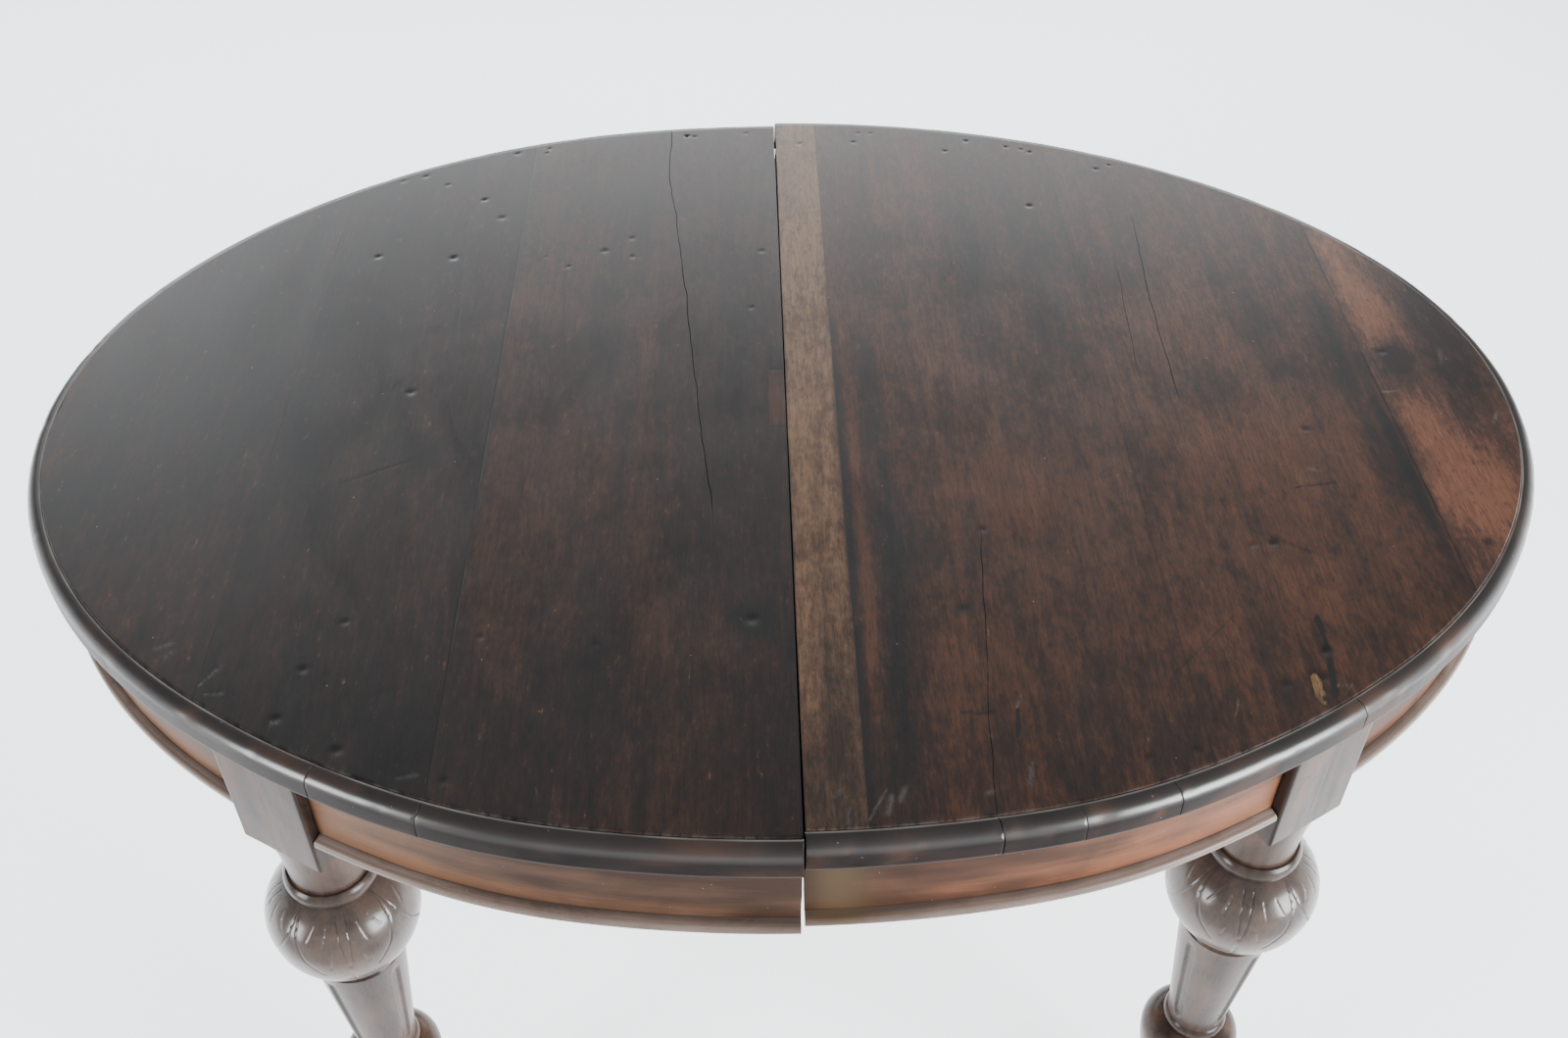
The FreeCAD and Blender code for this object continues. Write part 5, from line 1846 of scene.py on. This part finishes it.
def polish_patches() -> tuple[Patch, ...]:
    """Soft darker and lighter areas of the polish, placed by eye.

    Returns:
        The areas.
    """
    places = (
        (0.061, -0.20, 0.006, 0.24, 0.45), (0.049, -0.16, 0.005, 0.24, -0.5),
        (0.083, -0.02, 0.009, 0.26, -0.22), (0.100, -0.205, 0.024, 0.05, -0.5),
        (0.080, -0.40, 0.010, 0.12, -0.3), (0.083, -0.25, 0.009, 0.12, -0.2),
        (0.205, -0.145, 0.06, 0.05, 0.5), (0.15, -0.38, 0.05, 0.10, 0.22),
        (0.165, 0.02, 0.05, 0.16, 0.2), (0.43, -0.10, 0.08, 0.10, 0.28),
        (0.408, 0.0, 0.03, 0.04, -0.35), (0.30, 0.22, 0.08, 0.09, -0.2),
        (0.60, 0.04, 0.02, 0.03, -0.7), (-0.034, -0.295, 0.016, 0.018, -0.7),
        (-0.18, -0.10, 0.06, 0.10, 0.18), (-0.215, 0.0, 0.05, 0.12, -0.15),
        (-0.035, -0.05, 0.02, 0.22, -0.25), (-0.30, -0.20, 0.10, 0.14, 0.12),
        (-0.339, -0.0825, 0.02, 0.02, -0.5), (-0.52, 0.0, 0.11, 0.30, -0.35),
        (-0.30, -0.42, 0.16, 0.08, -0.3), (0.30, -0.43, 0.16, 0.06, -0.2),
        (0.595, 0.115, 0.020, 0.07, 0.75), (0.590, 0.20, 0.015, 0.08, 0.5),
        (0.592, -0.06, 0.016, 0.04, 0.85), (0.612, -0.15, 0.035, 0.06, 0.95),
        (0.655, 0.06, 0.022, 0.10, -0.35), (0.560, -0.12, 0.006, 0.10, -1.0),
        (0.545, -0.05, 0.012, 0.20, -0.35), (0.030, -0.44, 0.03, 0.12, -0.45),
        (0.020, 0.30, 0.03, 0.20, 0.15),
    )
    repair = Patch(-0.0085, -0.006, 0.0075, 0.043, 0.55, 10)
    return tuple(Patch(*place) for place in places) + (repair,)


def strokes() -> tuple[Stroke, ...]:
    """Scratches and smears, placed by eye: start, end, half width in millimetres and shade.

    Returns:
        The strokes; the pale ones are drawn finer and fainter than listed.
    """
    drawn = (
        ((-0.469, -0.355), (-0.459, -0.339), 2.0, 0.7), ((-0.461, -0.365), (-0.450, -0.364), 3.0, 0.8),
        ((-0.513, -0.316), (-0.502, -0.310), 4.0, 0.5), ((-0.505, -0.325), (-0.498, -0.318), 3.0, 0.4),
        ((0.048, -0.495), (0.062, -0.469), 1.6, 0.7), ((0.061, -0.491), (0.0655, -0.475), 4.0, 0.6),
        ((0.031, -0.504), (0.034, -0.486), 4.0, 0.6), ((0.024, -0.474), (0.027, -0.470), 4.0, 0.4),
        ((0.072, -0.478), (0.076, -0.468), 4.0, 0.4), ((0.135, -0.475), (0.140, -0.473), 4.0, 0.4),
        ((0.169, -0.393), (0.173, -0.382), 1.8, 0.7), ((0.166, -0.42), (0.169, -0.396), 2.2, -0.8),
        ((0.169, -0.467), (0.173, -0.448), 3.4, 0.5), ((0.422, -0.377), (0.4356, -0.3775), 1.2, 1.0),
        ((0.428, -0.385), (0.430, -0.381), 1.8, 0.6), ((0.337, -0.405), (0.342, -0.389), 1.2, 0.9),
        ((0.5147, 0.058), (0.509, 0.036), 1.8, 0.5), ((0.570, -0.0115), (0.5845, -0.012), 2.4, 0.8),
        ((0.427, -0.3045), (0.426, -0.339), 2.2, -0.9), ((0.426, -0.339), (0.419, -0.388), 3.0, -0.9),
        ((0.451, -0.146), (0.4885, -0.141), 1.6, -0.5), ((-0.339, 0.304), (-0.326, 0.10), 1.4, -0.4),
        ((-0.226, 0.206), (-0.214, 0.047), 1.4, -0.35), ((-0.0155, 0.037), (-0.001, 0.037), 1.6, -0.8),
        ((-0.0155, -0.049), (-0.001, -0.049), 1.6, -0.8), ((0.125, -0.398), (0.15, -0.398), 1.8, -0.5),
        ((0.66, -0.06), (0.668, -0.045), 3.0, 0.4), ((0.640, 0.03), (0.646, 0.05), 3.0, 0.3),
        ((0.470, -0.12), (0.478, -0.124), 4.0, 0.35), ((-0.30, -0.45), (-0.285, -0.447), 3.0, 0.35),
        ((-0.40, -0.12), (-0.34, -0.09), 1.2, -0.3), ((-0.46, -0.10), (-0.40, -0.17), 1.2, -0.3),
        ((0.30, -0.36), (0.36, -0.30), 1.2, -0.3), ((0.40, -0.2), (0.46, -0.24), 1.2, -0.3),
    )
    finer, fainter = 0.75, 0.7
    return tuple(Stroke(start, end, wide * MM * finer, shade * fainter) if shade > 0
                 else Stroke(start, end, wide * MM, shade) for start, end, wide, shade in drawn)


def rim_of(plan: OvalPlan, seam: float) -> Rim:
    """Make the rim, with its cross cracks and knocks at plan angles.

    Args:
        plan: The table's outline.
        seam: Half the gap at the seam.

    Returns:
        The rim.
    """
    low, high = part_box("left_front_rim")
    finish = MouldingFinish("rim_polish", deep=(0.010, 0.008, 0.0075), body=(0.023, 0.0165, 0.0145),
                            warm=(0.075, 0.036, 0.024), roughness=0.34, grain=0.6, sheen=0.06, polish=1.0)
    cracks = ((232.6, 1.4 * MM), (240.0, 1.0 * MM), (-60.2, 0.9 * MM), (-46.1, 1.2 * MM), (-74.4, 1.8 * MM),
              (-67.5, 0.6 * MM), (118.0, 0.8 * MM), (71.0, 0.8 * MM), (20.0, 0.8 * MM), (160.0, 0.8 * MM))
    draw = np.random.default_rng(Seed.RIM_KNOCKS)
    knocks = 90
    dents = tuple((float(a), float(level), float(r), float(d)) for a, level, r, d in zip(
        draw.uniform(0, 360, knocks), draw.uniform(0.740, 0.757, knocks), draw.uniform(2.5, 9, knocks) * MM,
        draw.uniform(0.15, 0.7, knocks) * MM))
    return Rim(plan, low.z, high.z, RIM_WIDTH, seam, finish, cracks, dents)


def skirt_of(plan: OvalPlan, seam: float) -> Skirt:
    """Make the aprons and beads, with their finishes.

    Args:
        plan: The table's outline.
        seam: Half the gap at the seam.

    Returns:
        The aprons and beads.
    """
    return Skirt(
        plan, seam,
        left=MouldingFinish("apron_left_polish", deep=(0.048, 0.026, 0.017), body=(0.122, 0.064, 0.040),
                            warm=(0.22, 0.108, 0.060), roughness=0.42, mottle=0.6, sheen=0.15),
        right=MouldingFinish("apron_right_polish", deep=(0.038, 0.019, 0.012), body=(0.090, 0.042, 0.026),
                             warm=(0.25, 0.100, 0.053), roughness=0.42, mottle=0.6, sheen=0.15),
        bead=MouldingFinish("bead_polish", deep=(0.085, 0.060, 0.049), body=(0.160, 0.112, 0.090),
                            warm=(0.25, 0.185, 0.155), roughness=0.30, grain=0.9, mottle=0.8, sheen=0.3))


def dress_cad_nodes() -> None:
    """Give the nodes that keep their CAD shape their finishes."""
    bare = BareFinish("runner_bare").material()
    peg = BareFinish("peg_bare", deep=(0.16, 0.095, 0.05), body=(0.36, 0.24, 0.14),
                     warm=(0.5, 0.36, 0.22)).material()
    steel = SteelFinish("screw_steel").material()
    endings = {"runner": bare, "runner_tie": bare, "glue_blocks": bare, "pegs": peg, "screws": steel}
    for name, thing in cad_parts.items():
        for ending, material in endings.items():
            if name.endswith(ending):
                dress(thing, material)
                log.info("%s keeps its CAD shape", name)


def main() -> None:
    """Build the table's pieces, dress its nodes and set up the studio."""
    logging.basicConfig(level=logging.INFO, format="%(name)s: %(message)s")
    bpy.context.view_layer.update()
    plan = plan_of_table()
    strip_low, strip_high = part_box("right_seam_strip")
    seam = strip_low.x
    chip = Dent(0.4075, -0.378, 5.5 * MM, 1.0 * MM, stain=0.0, stretch=3.6)
    TableTop(plan, strip_low.z, strip_high.z, BOARD_INSET, seam, top_boards(), bruises(), polish_patches(),
             strokes(), chip).place()
    rim_of(plan, seam).place()
    skirt_of(plan, seam).place()
    Leg(LegFinish("leg_polish")).place()
    dress_cad_nodes()
    Studio(lights=(
        SoftBox("back_box", (-0.3, 2.8, 1.5), (-0.2, 0.0, 0.9), 4.6, 1.3, 85),
        SoftBox("back_left_box", (-2.1, 2.3, 2.3), (-0.5, 0.1, 0.7), 1.4, 1.2, 10),
        SoftBox("ceiling_box", (0.0, 2.2, 3.4), (0.0, 0.0, 0.76), 5.0, 2.4, 14),
        SoftBox("left_box", (-2.56, -1.85, 1.0), (-0.35, -0.44, 0.75), 0.8, 1.3, 58),
        SoftBox("right_box", (2.35, -2.0, 1.1), (0.33, -0.45, 0.75), 1.4, 1.5, 165),
        SoftBox("front_box", (0.0, -3.6, 1.0), (0.0, 0.0, 0.6), 4.0, 1.6, 14),
        SoftBox("right_wall", (2.9, 0.5, 1.0), (0.5, 0.2, 0.6), 2.2, 1.4, 20),
        SoftBox("left_wall", (-2.9, 0.5, 1.0), (-0.5, 0.2, 0.6), 2.2, 1.4, 16),
    )).build()
    PhotoCamera().build()


if __name__ == "__main__":
    main()
